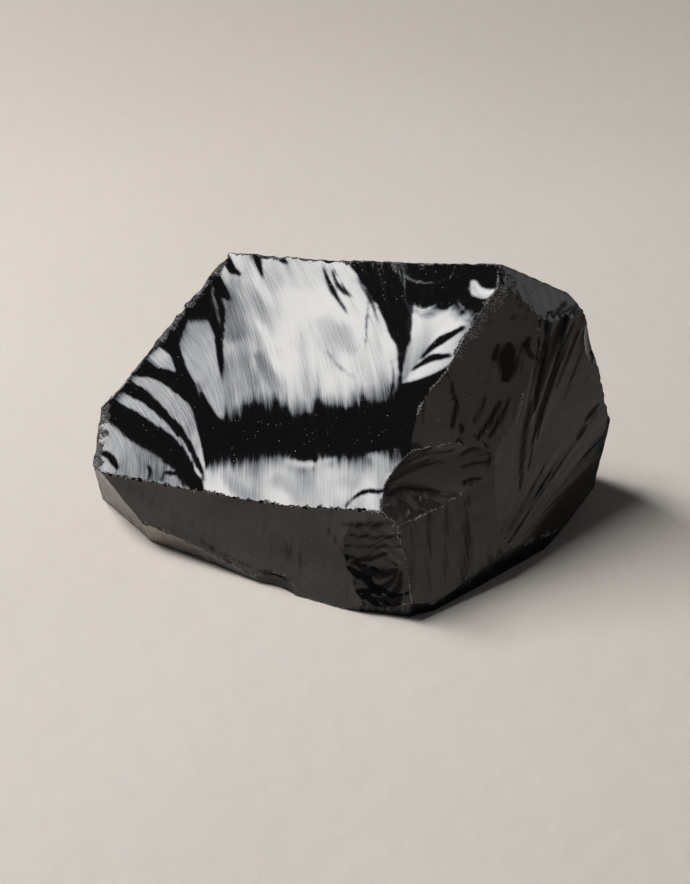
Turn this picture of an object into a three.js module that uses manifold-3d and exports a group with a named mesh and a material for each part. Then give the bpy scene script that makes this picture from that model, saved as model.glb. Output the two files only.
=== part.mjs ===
// Obsidian chunk: a hand-size block of black volcanic glass, broken off a larger
// lump. It is one natural piece, so it is one solid: broad fracture faces, shallow
// shell-shaped scars where flakes came away, small chips along the sharp edges, and
// a flat broken underside that it rests on.
//
// Millimetres, +Z up. The faces are laid out from the near bottom corner, where the
// front face and the right face meet the ground. The finished stone is then moved so
// that its origin is the middle of its footprint.

import * as THREE from 'three';
import { mergeVertices } from 'three/addons/utils/BufferGeometryUtils.js';
import Module from 'manifold-3d';

const wasm = await Module();
wasm.setup();

// ---- Driving dimensions ----

const NAME = 'obsidian_chunk';
const ROUGH_BLOCK = 240; // side of the lump that the faces are broken from
const SCAR_SEGMENTS = 72; // segments round the sphere that hollows out one scar

// Each fracture face is a plane: the direction it faces, as an azimuth round +Z from
// +X and an elevation above the horizon, and its distance from the near bottom corner.
const FACES = {
  top: { azimuth: 236, elevation: 52, distance: 16.8 },
  front: { azimuth: 245.25, elevation: 13.4, distance: 3.3 },
  frontUndercut: { azimuth: 239.5, elevation: -21, distance: 4.75 },
  cornerFootLeft: { azimuth: 259.5, elevation: -14, distance: 0.1 },
  right: { azimuth: 304.7, elevation: 16.9, distance: 2.75 },
  cornerFootRight: { azimuth: 292.3, elevation: -14, distance: 0.45 },
  rightFoot: { azimuth: 310, elevation: -8, distance: 2.3 },
  rightShoulder: { azimuth: 302, elevation: 25, distance: 5.2 },
  rightFar: { azimuth: 313, elevation: 16, distance: 5.7 },
  crown: { azimuth: 320, elevation: 43, distance: 28.2 },
  rightUndercut: { azimuth: 337, elevation: -37, distance: 13.5 },
  east: { azimuth: 30, elevation: 11, distance: 55 },
  eastUndercut: { azimuth: 4, elevation: -20, distance: 33.6 },
  backRidge: { azimuth: 76, elevation: 40, distance: 63.8 },
  back: { azimuth: 68, elevation: 8, distance: 54.8 },
  backLeft: { azimuth: 137, elevation: 12, distance: 71.3 },
  left: { azimuth: 176, elevation: 2, distance: 60.3 },
  leftUndercut: { azimuth: 217.7, elevation: -18.7, distance: 22.9 },
  base: { azimuth: 0, elevation: -90, distance: 0 },
};

// Flake scars: where the middle of the scar is, which way its hollow opens, half its
// width, and how deep it bites.
const SCARS = [
  { at: [-5, 1.5, 11], azimuth: 260, elevation: 10, halfWidth: 9, depth: 1.2 }, // near corner
  { at: [4, 10, 24], azimuth: 285, elevation: 32, halfWidth: 9, depth: 1.7 }, // over the corner
  { at: [6.5, 17.5, 35], azimuth: 275, elevation: 34, halfWidth: 8, depth: 1.2 }, // right edge
  { at: [16.6, 31.5, 48.5], azimuth: 285, elevation: 50, halfWidth: 5, depth: 1.6 }, // crown corner
  { at: [12.5, 33.5, 47.5], azimuth: 238, elevation: 55, halfWidth: 6, depth: 0.7 }, // shell flake
  { at: [-23.5, 10.8, 0.6], azimuth: 247, elevation: -20, halfWidth: 4, depth: 1 }, // front foot
  { at: [-12, 8, 20.6], azimuth: 236, elevation: 42, halfWidth: 14, depth: 1.3 }, // front rim
  { at: [-58, 33, 16], azimuth: 200, elevation: 35, halfWidth: 5, depth: 0.7 }, // left tip
  { at: [-46, 48.8, 32.2], azimuth: 140, elevation: 42, halfWidth: 8, depth: 0.8 }, // back left rim
  { at: [10, 55, 22], azimuth: 68, elevation: 10, halfWidth: 17, depth: 2 }, // back, right
  { at: [-20, 63, 14], azimuth: 72, elevation: 4, halfWidth: 15, depth: 1.6 }, // back, left
  { at: [-2, 50, 41], azimuth: 74, elevation: 38, halfWidth: 9, depth: 1.2 }, // back ridge
  { at: [37, 42, 22], azimuth: 30, elevation: 11, halfWidth: 5, depth: 0.6 }, // right end
  { at: [-46, 55, 12], azimuth: 137, elevation: 8, halfWidth: 10, depth: 1.3 }, // left, back
  { at: [35.2, 38, 32], azimuth: 352, elevation: 16, halfWidth: 5, depth: 0.8 }, // right rim
];

// Chips along a sharp edge: the edge's two ends, which way the chips face, and how many.
const CHIPPED_EDGES = [
  { from: [-32, 56, 42.4], to: [15, 37.2, 50.7], azimuth: 60, elevation: 62, count: 7 },
  { from: [-55, 40, 22], to: [-36, 55, 40], azimuth: 160, elevation: 52, count: 5 },
  { from: [-53, 24.6, 12.7], to: [-18, 10, 18.8], azimuth: 243, elevation: 30, count: 6 },
  { from: [21, 31.8, 45.5], to: [1, 8.5, 25.9], azimuth: 270, elevation: 42, count: 4 },
];
const CHIP_HALF_WIDTH = 2.6; // of the largest chip
const CHIP_DEPTH = 0.6; // of the largest chip
const CHIP_SEGMENTS = 28; // segments round the sphere that takes out one chip

// ---- Helpers ----

function facing(azimuth, elevation) {
  const around = THREE.MathUtils.degToRad(azimuth);
  const above = THREE.MathUtils.degToRad(elevation);
  const level = Math.cos(above);
  return new THREE.Vector3(Math.cos(around) * level, Math.sin(around) * level, Math.sin(above));
}

// A closed geometry as a solid that can be joined and cut.
function solidOf(geometry) {
  geometry.deleteAttribute('normal');
  geometry.deleteAttribute('uv');
  const welded = mergeVertices(geometry, 1e-4);
  const vertProperties = new Float32Array(welded.attributes.position.array);
  const triVerts = new Uint32Array(welded.index.array);
  return new wasm.Manifold(new wasm.Mesh({ numProp: 3, vertProperties, triVerts }));
}

function geometryOf(solid) {
  const mesh = solid.getMesh();
  const geometry = new THREE.BufferGeometry();
  geometry.setAttribute('position', new THREE.BufferAttribute(mesh.vertProperties, 3));
  geometry.setIndex(new THREE.BufferAttribute(mesh.triVerts, 1));
  return geometry;
}

// Turns a geometry's +Z to the given direction and moves its centre out along it.
function placeAlong(geometry, direction, centre) {
  const up = new THREE.Vector3(0, 0, 1);
  geometry.applyQuaternion(new THREE.Quaternion().setFromUnitVectors(up, direction));
  geometry.translate(centre.x, centre.y, centre.z);
  return geometry;
}

// Everything on the outer side of a fracture plane, as a block to take away.
function wasteBeyond({ azimuth, elevation, distance }) {
  const normal = facing(azimuth, elevation);
  const centre = normal.clone().multiplyScalar(distance + ROUGH_BLOCK);
  const size = 2 * ROUGH_BLOCK;
  return solidOf(placeAlong(new THREE.BoxGeometry(size, size, size), normal, centre));
}

// A large sphere that dips into the surface only as far as the scar's hollow.
function flake({ at, azimuth, elevation, halfWidth, depth }, segments) {
  const normal = facing(azimuth, elevation);
  const radius = (halfWidth ** 2 + depth ** 2) / (2 * depth);
  const centre = new THREE.Vector3(...at).addScaledVector(normal, radius - depth);
  const sphere = new THREE.SphereGeometry(radius, segments, segments / 2);
  return solidOf(placeAlong(sphere, normal, centre));
}

// ---- The stone ----

function brokenBlock() {
  let block = solidOf(new THREE.BoxGeometry(ROUGH_BLOCK, ROUGH_BLOCK, ROUGH_BLOCK));
  for (const face of Object.values(FACES)) {
    block = block.subtract(wasteBeyond(face));
  }
  return block;
}

// Chips of uneven size and spacing along one edge.
function edgeChips({ from, to, azimuth, elevation, count }) {
  const chips = [];
  for (let i = 0; i < count; i += 1) {
    const uneven = Math.sin(12.9 * (i + 1) + azimuth);
    const along = (i + 0.5 + 0.3 * uneven) / count;
    const scale = 0.75 + 0.25 * uneven;
    const at = new THREE.Vector3(...from).lerp(new THREE.Vector3(...to), along);
    chips.push({
      at: at.toArray(),
      azimuth: azimuth + 14 * uneven,
      elevation,
      halfWidth: CHIP_HALF_WIDTH * scale,
      depth: CHIP_DEPTH * scale,
    });
  }
  return chips;
}

function chippedStone() {
  let stone = brokenBlock();
  for (const scar of SCARS) {
    stone = stone.subtract(flake(scar, SCAR_SEGMENTS));
  }
  for (const chip of CHIPPED_EDGES.flatMap(edgeChips)) {
    stone = stone.subtract(flake(chip, CHIP_SEGMENTS));
  }
  return stone;
}

// Moves the finished shape so that its origin is the middle of its footprint.
function standOnOrigin(geometry) {
  geometry.computeBoundingBox();
  const middle = geometry.boundingBox.getCenter(new THREE.Vector3());
  geometry.translate(-middle.x, -middle.y, -geometry.boundingBox.min.z);
  geometry.computeVertexNormals();
  return geometry;
}

const volcanicGlass = new THREE.MeshStandardMaterial({
  color: 0x1c1a19,
  roughness: 0.08,
  metalness: 0,
  flatShading: true,
});

const chunk = new THREE.Mesh(standOnOrigin(geometryOf(chippedStone())), volcanicGlass);
chunk.name = NAME;

const group = new THREE.Group();
group.add(chunk);

export default group;
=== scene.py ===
# %% [markdown]
# # A chunk of obsidian
#
# Obsidian is lava that cooled to glass. It has no grain to split along, so a blow sends
# a crack through it in smooth curved sheets, with ribs that fan out from the blow and
# ripples that ring it. This lesson knaps one hand-size chunk in Blender. The CAD model
# already holds the broad fracture faces, and everything here is measured from it.

import math

import bmesh
import bpy
import numpy as np
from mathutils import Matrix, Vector
from mathutils.kdtree import KDTree


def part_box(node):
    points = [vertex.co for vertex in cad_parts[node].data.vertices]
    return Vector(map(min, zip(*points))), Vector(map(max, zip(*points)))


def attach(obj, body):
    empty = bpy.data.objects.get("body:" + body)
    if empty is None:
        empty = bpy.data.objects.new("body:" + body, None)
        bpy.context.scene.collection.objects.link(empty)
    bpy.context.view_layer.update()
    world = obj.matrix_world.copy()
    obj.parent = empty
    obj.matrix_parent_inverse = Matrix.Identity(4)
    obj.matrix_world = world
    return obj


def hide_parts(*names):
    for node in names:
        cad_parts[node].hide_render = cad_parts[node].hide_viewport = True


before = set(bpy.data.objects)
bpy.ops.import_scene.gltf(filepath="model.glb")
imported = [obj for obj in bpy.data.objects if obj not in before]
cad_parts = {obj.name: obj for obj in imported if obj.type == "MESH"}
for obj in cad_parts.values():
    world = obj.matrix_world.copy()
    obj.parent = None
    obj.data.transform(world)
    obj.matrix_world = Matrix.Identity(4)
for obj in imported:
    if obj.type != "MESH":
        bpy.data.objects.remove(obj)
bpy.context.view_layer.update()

# %% [markdown]
# ## Read the fracture planes
#
# The stone is one natural piece, so the CAD model is one node. Its large flat patches
# are the fracture planes. Each one is found again here by the way it faces, as an
# azimuth round +Z and an elevation above the horizon, and its distance is measured
# from the triangles that face that way. Only the directions are repeated here, so the
# detailed stone keeps to the plain one. Work is in millimetres until the end.

# %% The CAD triangles
NODE = "obsidian_chunk"
MM = 0.001

node_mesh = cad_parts[NODE].data
node_mesh.calc_loop_triangles()
node_points = np.array([v.co for v in node_mesh.vertices]) / MM
node_corners = node_points[np.array([t.vertices for t in node_mesh.loop_triangles])]
node_crosses = np.cross(
    node_corners[:, 1] - node_corners[:, 0], node_corners[:, 2] - node_corners[:, 0]
)
node_areas = np.linalg.norm(node_crosses, axis=1) / 2
node_normals = node_crosses / np.maximum(2 * node_areas, 1e-12)[:, None]
block_low, block_high = (np.array(corner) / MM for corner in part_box(NODE))
print("CAD triangles:", len(node_corners))

# %% One fracture face
FACES_THE_SAME_WAY = 0.99996  # cosine of half a degree


def facing(azimuth, elevation):
    """The direction with an azimuth round +Z from +X and an elevation above the horizon."""
    around, above = math.radians(azimuth), math.radians(elevation)
    level = math.cos(above)
    return np.array([math.cos(around) * level, math.sin(around) * level, math.sin(above)])


def unit(vector):
    return np.asarray(vector, float) / np.linalg.norm(vector)


class Axes:
    """A place on the stone with its own axes: x across, y up and z out of the glass."""

    def point(self, x, y, z=0.0):
        x, y, z = (np.asarray(value, float)[..., None] for value in (x, y, z))
        return self.origin + x * self.across + y * self.up + z * self.out

    def local(self, points):
        return (points - self.origin) @ np.array([self.across, self.up, self.out]).T

    def lay_out(self, across):
        """Sets across as near as it can be to a direction, and up to suit it."""
        across = np.asarray(across, float)
        self.across = unit(across - (across @ self.out) * self.out)
        self.up = np.cross(self.out, self.across)


class Face(Axes):
    """A fracture plane, found again in the CAD triangles."""

    def __init__(self, azimuth, elevation, across=None):
        self.out = facing(azimuth, elevation)
        chosen = node_normals @ self.out > FACES_THE_SAME_WAY
        self.corners = node_corners[chosen]
        levels = self.corners.mean(axis=1) @ self.out
        order = np.argsort(levels)
        half = np.cumsum(node_areas[chosen][order])
        self.distance = levels[order][np.searchsorted(half, half[-1] / 2)]
        self.lay_out(np.cross([0, 0, 1], self.out) if across is None else across)

    def measure_from(self, corner, start=(0, 0)):
        """Puts the face's origin at the foot of the perpendicular from a corner."""
        foot = corner + self.out * (self.distance - corner @ self.out)
        self.origin = foot + start[0] * self.across + start[1] * self.up
        flat = (self.corners.reshape(-1, 3) - self.origin) @ np.array([self.across, self.up]).T
        self.low, self.high = flat.min(axis=0), flat.max(axis=0)


# %% All the fracture faces
faces = {
    "top": Face(236, 52, across=(1, 0, 0)),
    "front": Face(245.25, 13.4),
    "front_undercut": Face(239.5, -21),
    "corner_foot_left": Face(259.5, -14),
    "right": Face(304.7, 16.9),
    "corner_foot_right": Face(292.3, -14),
    "right_foot": Face(310, -8),
    "right_shoulder": Face(302, 25),
    "right_far": Face(313, 16),
    "crown": Face(320, 43),
    "right_undercut": Face(337, -37),
    "east": Face(30, 11),
    "east_undercut": Face(4, -20),
    "back_ridge": Face(76, 40),
    "back": Face(68, 8),
    "back_left": Face(137, 12),
    "left": Face(176, 2),
    "left_undercut": Face(217.7, -18.7),
}
TOP_START = (-57.07, 13.95)  # brings the top face's own origin to its lower left
NEAR_CORNER = (-0.21, -3.64, 0.0)  # mm from the setting-out point

near = [faces["front"], faces["right"]]
near_corner = np.linalg.solve(
    [near[0].out, near[1].out, [0, 0, 1]],
    [near[0].distance, near[1].distance, block_low[2]],
)
setting_out = near_corner - np.array(NEAR_CORNER)  # the point that everything is laid out from
for name, face in faces.items():
    face.measure_from(setting_out, TOP_START if name == "top" else (0, 0))
    size = face.high - face.low
    print(f"{name:15s} {face.distance:6.2f} mm out, {size[0]:5.1f} x {size[1]:5.1f} mm")


ON_STONE_SLACK = 0.3  # mm


def on_stone(name, x, y):
    """Which places on a face's plane lie within all the other planes."""
    places = faces[name].point(x, y)
    inside = places[..., 2] >= block_low[2] - ON_STONE_SLACK
    for other, face in faces.items():
        if other != name:
            inside &= places @ face.out <= face.distance + ON_STONE_SLACK
    return inside


# %% [markdown]
# ## Noise that follows the fracture
#
# The ribs, ripples and ragged edges of a fracture are uneven, but they are not random
# dots: they are long and thin and follow the way the crack ran. A small noise function
# in numpy does this when it is fed coordinates that are stretched along the crack.
# It is made from whole-number arithmetic, so it gives the same stone on every run.


# %% Noise and blending helpers
def hashed(column, row, seed):
    """A whole number below 2**32 that looks random, for each square of a grid."""
    mixed = column.astype(np.int64) * 374761393 + row.astype(np.int64) * 668265263
    mixed = (mixed + seed * 144269504) & 0xFFFFFFFF
    mixed = ((mixed ^ (mixed >> 13)) * 1274126177) & 0xFFFFFFFF
    return mixed ^ (mixed >> 16)


def noise(x, y, seed):
    """Smooth noise from about -1 to 1, with one swell for each unit of x and of y."""
    column, row = np.floor(x), np.floor(y)
    right, above = x - column, y - row
    ease_x = right**3 * (right * (right * 6 - 15) + 10)
    ease_y = above**3 * (above * (above * 6 - 15) + 10)

    def pull(step_x, step_y):
        angle = hashed(column + step_x, row + step_y, seed) * (math.tau / 2**32)
        return np.cos(angle) * (right - step_x) + np.sin(angle) * (above - step_y)

    below = pull(0, 0) * (1 - ease_x) + pull(1, 0) * ease_x
    over = pull(0, 1) * (1 - ease_x) + pull(1, 1) * ease_x
    return 1.5 * (below * (1 - ease_y) + over * ease_y)


def layered(x, y, rows, under=0.0):
    """Adds layers of noise, each given as its weight, its swells for each unit and a seed."""
    for weight, swells_x, swells_y, seed in rows:
        under = under + weight * noise(x * swells_x, y * swells_y, seed)
    return under


def ease(start, end, value):
    """0 before start, 1 after end, and a smooth rise between them."""
    share = np.clip((value - start) / (end - start), 0, 1)
    return share * share * (3 - 2 * share)


# %% [markdown]
# ## Lines drawn on a face
#
# Much of what makes each break look like itself is drawn: blades, slivers and edges of
# flakes. A blade is a smooth line through a few points, given in millimetres on the
# face, with a width that changes along it. These helpers find how far every point of
# the face is from such a line.


# %% Smooth lines and how far away they are
LINE_STEPS = 10  # straight pieces between two of the points given


def smooth_line(points):
    """A smooth line through a few points, as many short straight ones."""
    points = np.array(points, float)
    points = np.vstack([2 * points[0] - points[1], points, 2 * points[-1] - points[-2]])
    made = []
    for a, b, c, d in zip(points, points[1:], points[2:], points[3:]):
        t = np.linspace(0, 1, LINE_STEPS, endpoint=False)[:, None]
        cubic = (3 * b - a - 3 * c + d) * t**3
        made.append(0.5 * (2 * b + (c - a) * t + (2 * a - 5 * b + 4 * c - d) * t * t + cubic))
    return np.vstack(made + [points[-2:-1]])


def along(x, y, points):
    """How far along a line each place is, from 0 to 1, and how far to its right, in mm."""
    line = smooth_line(points)
    lengths = np.hypot(*np.diff(line, axis=0).T)
    before = np.concatenate([[0], np.cumsum(lengths)])
    nearest = np.full(x.shape, 1e9)
    sideways = np.zeros(x.shape)
    share = np.zeros(x.shape)
    for i, length in enumerate(lengths):
        ahead = (line[i + 1] - line[i]) / length
        from_x, from_y = x - line[i, 0], y - line[i, 1]
        travelled = from_x * ahead[0] + from_y * ahead[1]
        held = np.clip(travelled, 0, length)
        away = np.hypot(from_x - held * ahead[0], from_y - held * ahead[1])
        side = np.sign(from_x * ahead[1] - from_y * ahead[0])
        closer = away < nearest
        nearest = np.where(closer, away, nearest)
        sideways = np.where(closer, side * away, sideways)
        share = np.where(closer, (before[i] + travelled) / before[-1], share)
    return share, sideways


def blade(tilt, x, y, points, widths, value, soft=(0.25, 0.25)):
    """Sets the tilt to a value inside a drawn blade, with a soft left and right edge."""
    share, sideways = along(x, y, points)
    half = np.interp(share, np.linspace(0, 1, len(widths)), widths) / 2
    left = ease(-half - soft[0] / 2, -half + soft[0] / 2, sideways)
    right = 1 - ease(half - soft[1] / 2, half + soft[1] / 2, sideways)
    ends = ease(-0.08, 0.08, share) * (1 - ease(0.92, 1.08, share))
    return tilt + (value - tilt) * left * right * ends


# %% [markdown]
# ## The top face: a mirror sculpted by its tilt
#
# The top face is what the eye goes to. Black glass shows nothing of its own there. It
# shows the lamp where the surface tilts towards it and the dark room where it does
# not, and a change of tilt of two or three degrees is enough to go from one to the
# other. So this face is not sculpted as a height. It is drawn as a map of tilt: above
# zero leans to the lamp, below zero leans away. The map has a fan of ribs, a broad
# wave across the middle, an arc on the right and a sheaf of blades on the left.


# %% Ribs that fan across the top face
RIB_FOOT = 14.0  # mm up the face, where the ribs begin to bend
RIB_BEND = ([8, 24, 30, 61, 66, 80], [0.030, 0.022, 0.0048, 0.0074, -0.016, -0.016])


def rib_of(x, y):
    """Which rib a place lies on: constant along each rib."""
    rib = x.copy()
    above = np.maximum(y - RIB_FOOT, 0)
    for _ in range(8):
        rib = 0.5 * rib + 0.5 * (x + np.interp(rib, *RIB_BEND) * above**2)
    return rib


# %% The broad wave across the top face
WAVE_HEIGHTS = [-3, 3, 9, 12.5, 14.4, 15.2, 17, 20, 24, 26.4, 27.4, 30, 36, 44, 56]
WAVE_TILTS = [0.8, 0.88, 0.84, 0.62, 0.2, -0.1, -0.4, -0.55, -0.5, -0.16, 0.2, 0.5, 0.66, 0.78, 0.7]
FLAMES = [
    (51, 8.0, -5.2),
    (42, 3.0, -5.5),
    (60, 3.5, -4.0),
    (29, 3.0, -5.1),
    (35.5, 2.5, -2.8),
    (45.6, 0.5, 2.4),
    (54.2, 0.35, 1.5),
]
LOWER_FLAMES = [(43.5, 2.2, -2.4), (36, 4.0, 1.0), (54, 8.0, -2.0)]
FINE_RIBS = [(0.6, 1.7, 0.10, 1), (0.35, 4.1, 0.22, 2), (0.5, 0.55, 0.05, 3)]
WARP = [(1.5, 0.9, 0.07, 5), (1.1, 2.4, 0.12, 6), (0.7, 5.2, 0.2, 7)]  # mm up the face
RIB_CLOUDS = [(0.6, 0.15, 0.06, 41), (0.5, 0.4, 0.1, 42)]
CLOUDS = [(0.6, 0.13, 0.1, 43), (0.3, 0.3, 0.22, 44)]


def bumps(x, rows):
    """A sum of smooth humps, each given as where it is, how wide and how high."""
    return sum(height * np.exp(-(((x - at) / width) ** 2)) for at, width, height in rows)


def wave_tilt(x, y, rib):
    """The bright, dark and bright bands of the wave, frayed along the ribs."""
    fine = layered(rib, y, FINE_RIBS)
    warp = layered(rib, y, WARP)
    shift = bumps(x, FLAMES) * np.interp(y, [16, 22, 34, 44], [0, 1, 1, 0])
    shift = shift + bumps(x, LOWER_FLAMES) * np.interp(y, [8, 14, 19], [1, 1, 0])
    height = y + warp - shift
    tilt = np.interp(height, WAVE_HEIGHTS, WAVE_TILTS) + 0.06 * fine
    tilt = tilt + 0.12 * fine * ease(26, 32, height)
    tilt = tilt + 0.2 * fine * ease(12, 16, height) * (1 - ease(24, 28, height))
    cloud = layered(x, y, CLOUDS, layered(rib, y, RIB_CLOUDS))
    bright_spot = bumps(x, [(39, 4, 0.25)]) * bumps(y, [(33, 5, 1)])
    tilt = tilt + 0.3 * cloud * ease(0.05, 0.4, tilt) + bright_spot
    return tilt, fine, warp


# %% The edges of the wave
RIGHT_ARC = [(48.5, 58), (51.2, 52), (56.3, 43), (60.4, 33), (61.6, 26), (60, 19), (57.5, 13)]
LEFT_EDGE = [
    (23.0, 60),
    (24.3, 50),
    (25.9, 43),
    (26.7, 35),
    (26.9, 28),
    (26.8, 20),
    (24.6, 14.5),
    (23.6, 11),
    (25.0, 4),
]
RAGGED = [(0.5, 1.3, 0.35, 8), (0.35, 3, 0.8, 9)]  # mm
BEYOND_ARC, BEYOND_LEFT = -0.45, -0.5  # tilts


def bound_tilt(tilt, x, y, rib, fine):
    """Leans away beyond the arc on the right and beyond the edge on the left."""
    ragged = layered(rib, y, RAGGED)
    _, sideways = along(x, y, RIGHT_ARC)
    inside = ease(-0.25, 0.25, sideways + ragged * 0.8)
    inside = np.where(y < 13, 1 - ease(61.5, 62.5, x), inside)
    tilt = (0.1 * fine + BEYOND_ARC) * (1 - inside) + tilt * inside
    _, sideways = along(x, y, LEFT_EDGE)
    inside = ease(-0.25, 0.25, 0.25 * ragged - sideways)
    return (0.2 * fine + BEYOND_LEFT) * (1 - inside) + tilt * inside, ragged


# %% Blades drawn on the top face
# Each row: points in mm, widths in mm, tilt, and how soft its left and right edges are.
DARK_DARTS = [
    ([(27, 56), (28.3, 53.5), (30.3, 51.8)], [1.8, 1.3, 0.1], -0.35, (0.2, 0.35)),
    ([(24, 53), (26, 50), (28, 47)], [2.6, 1.8, 0.1], -0.35, (0.2, 0.35)),
    ([(33, 56), (33.9, 53), (34.7, 50.8)], [0.9, 0.7, 0.1], -0.35, (0.2, 0.35)),
    ([(36, 57), (37.4, 55), (39.5, 53)], [1.8, 1.0, 0.1], -0.35, (0.2, 0.35)),
    ([(25.2, 49.5), (26.4, 44.5), (26.8, 39)], [1.0, 0.6, 0.2], -0.35, (0.2, 0.35)),
    ([(46.5, 51.5), (48.3, 46.5), (51.5, 40.5)], [0.2, 1.5, 0.1], -0.3, (0.25, 0.9)),
    ([(48.3, 50.5), (49.6, 47), (52.2, 43.8)], [0.1, 0.9, 0.1], -0.3, (0.2, 0.5)),
    ([(55.3, 43.5), (55.1, 38), (54.8, 33)], [0.1, 0.5, 0.1], -0.2, (0.3, 0.4)),
    ([(53, 48), (55.6, 43), (57.5, 38)], [0.1, 0.7, 0.1], -0.2, (0.2, 0.6)),
    ([(59.9, 30), (60.3, 26), (59.4, 21)], [0.1, 0.5, 0.4], -0.3, (0.3, 0.3)),
]
FURROWS = [
    ([(25.2, 50.4), (27.3, 44.6), (29.5, 38.4)], [4.5, 6, 3], 0.5, (2.5, 3.0)),
    ([(31, 50), (34.5, 44), (37, 38)], [1.5, 3, 1], 0.62, (2.0, 2.5)),
    ([(46, 53), (50, 47), (53.5, 40)], [1.0, 2, 1], 0.66, (1.5, 2.0)),
    ([(33.6, 35.5), (36.1, 30.5), (39.1, 25)], [1.6, 2.6, 0.6], 0.42, (1.4, 0.6)),
    ([(45.7, 40.7), (49.6, 36.8), (53.1, 32.4)], [3, 4, 2], 0.46, (2.5, 2.5)),
    ([(42.7, 36.3), (43.2, 30.8), (43.4, 25.4)], [2, 2, 1], 0.5, (1.2, 0.8)),
    ([(42.7, 46.8), (40.7, 41.3), (37.8, 35.7)], [5, 5, 3], 0.95, (3, 3)),
    ([(36.8, 9.9), (41.1, 7.8), (43, 5)], [2.5, 3.5, 2], 0.5, (2, 2)),
    ([(27.5, 12.5), (30.5, 8.5), (34.5, 5.5)], [2, 3, 2], 0.55, (2, 2)),
    ([(45.5, 11), (50, 8), (54, 7)], [2, 3, 2], 0.6, (2, 2.5)),
    ([(39, 13.2), (44, 11.8), (49, 12.2)], [0.8, 1.4, 0.8], 0.6, (1.2, 1.5)),
    ([(55.5, 12.5), (58.5, 9.5), (60.5, 8)], [1.5, 2, 1], 0.6, (1.5, 1.5)),
    ([(33.5, 42), (35.5, 37), (37.5, 31)], [0.3, 0.4, 0.2], 1.1, (0.2, 0.2)),
    ([(35, 41), (36.6, 36.5), (38.5, 31)], [0.2, 0.3, 0.2], 1.1, (0.2, 0.2)),
    ([(47, 34), (50, 30), (53, 27.5)], [0.1, 0.5, 0.1], 0.15, (0.3, 0.8)),
]
LEFT_SHEAF = [
    (
        [(21.6, 44.7), (21.4, 39.7), (22.3, 35.9), (23.6, 32.2), (25.3, 28.5), (27.2, 22)],
        [4.0, 7.4, 6.6, 5.2, 3.2, 0.3],
        0.74,
        (0.9, 0.5),
    ),
    ([(21.8, 31), (22.3, 27.9), (22.6, 24.7)], [1.0, 0.8, 0.1], 0.55, (0.3, 0.3)),
    ([(12.3, 38.7), (14.4, 36.7), (17.4, 33.7)], [3.4, 3.4, 0.5], 0.75, (0.3, 0.8)),
    (
        [(8, 33.8), (13, 31.3), (18.5, 25.5), (22, 18.5), (24, 12.5)],
        [1.6, 3.8, 4.2, 2.6, 0.5],
        0.74,
        (0.3, 0.25),
    ),
    (
        [(6.8, 32), (11.5, 28.6), (17, 23.5), (21, 17.5), (23.9, 11)],
        [0.7, 0.8, 0.9, 0.8, 0.4],
        -0.4,
        (0.2, 0.2),
    ),
    (
        [(5.5, 30.5), (10.5, 27.3), (16, 22.4), (20.2, 17), (23.7, 10.5)],
        [2.4, 2.4, 1.9, 1.2, 0.3],
        0.76,
        (0.2, 0.2),
    ),
    ([(14.5, 22.8), (18.5, 18.7), (21.6, 14)], [0.3, 0.45, 0.2], -0.3, (0.2, 0.2)),
]
RIGHT_SHEAF = [
    ([(65.5, 29), (69, 31.8), (74, 33.8)], [0.4, 1.7, 0.5], -0.35, (0.25, 0.5)),
    ([(64, 27.2), (67.5, 28.8), (71.5, 28.6)], [0.3, 1.4, 0.3], -0.35, (0.25, 0.5)),
    ([(61.8, 25), (60.4, 21.5), (59, 18.5)], [0.3, 0.5, 0.2], 0.35, (0.2, 0.2)),
    ([(63, 24.3), (61.2, 21), (59.3, 17)], [0.2, 0.35, 0.1], 0.3, (0.2, 0.2)),
    ([(59.5, 49.5), (64, 45.2), (69, 43.8), (74.5, 45.5)], [0.1, 0.4, 0.4, 0.1], 0.3, (0.25, 0.25)),
    ([(50.8, 0.5), (51.8, 3.2), (54.5, 5.0), (58.6, 4.6)], [0.6, 0.5, 0.6, 0.3], -0.35, (0.25, 0.25)),
]
SHELL = [  # the small shell under the crown, with its bright hollow and the rings round it
    ([(75.9, 42.9), (76.6, 40.5), (78.5, 39.4), (80.5, 39.9)], [1.0, 2.4, 2.0, 0.4], 0.8, (0.5, 0.7)),
    ([(76.9, 42.9), (77.4, 41.2), (79.3, 40.4)], [0.2, 0.3, 0.2], 0.25, (0.2, 0.2)),
    ([(75.9, 41.6), (77.2, 39.4), (79.8, 39.0)], [0.2, 0.25, 0.2], 0.35, (0.2, 0.2)),
    ([(74.8, 41.8), (76.0, 38.7), (78.0, 37.6), (80.3, 38.2)], [0.2, 0.3, 0.3, 0.2], 0.35, (0.2, 0.2)),
    ([(72.2, 40.8), (74.0, 37.5), (77.0, 35.8), (80.0, 36.2)], [0.2, 0.35, 0.3, 0.2], 0.4, (0.2, 0.2)),
    ([(70.8, 39.3), (72.8, 36.2), (75.4, 34.6), (77.6, 34.2)], [0.2, 0.3, 0.4, 0.3], 0.45, (0.2, 0.3)),
]
FOOT_MARKS = [
    ([(22.8, 9), (24, 6)], [1.2, 0.6], -0.4, (0.25, 0.25)),
    ([(2.5, 19.2), (4.5, 18.2), (6.4, 15.5)], [0.6, 1.0, 0.5], -0.4, (0.25, 0.25)),
    ([(12.4, 15.5), (13, 14.2), (12.7, 12.5)], [0.2, 0.35, 0.2], -0.3, (0.2, 0.2)),
    ([(15.3, 11.9), (16.3, 13.6), (18.5, 12.7), (20.2, 10.5)], [0.2, 0.35, 0.3, 0.2], -0.3, (0.2, 0.2)),
]
FOOT_SHADE = 0.2  # tilt taken off along the foot of the face, where it curls under
LEFT_FOOT_EDGE = [(0, 29.5), (4.5, 25.0), (9, 21.0), (14, 17.6), (18, 13.8), (21.3, 9.4), (23, 5)]
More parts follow.
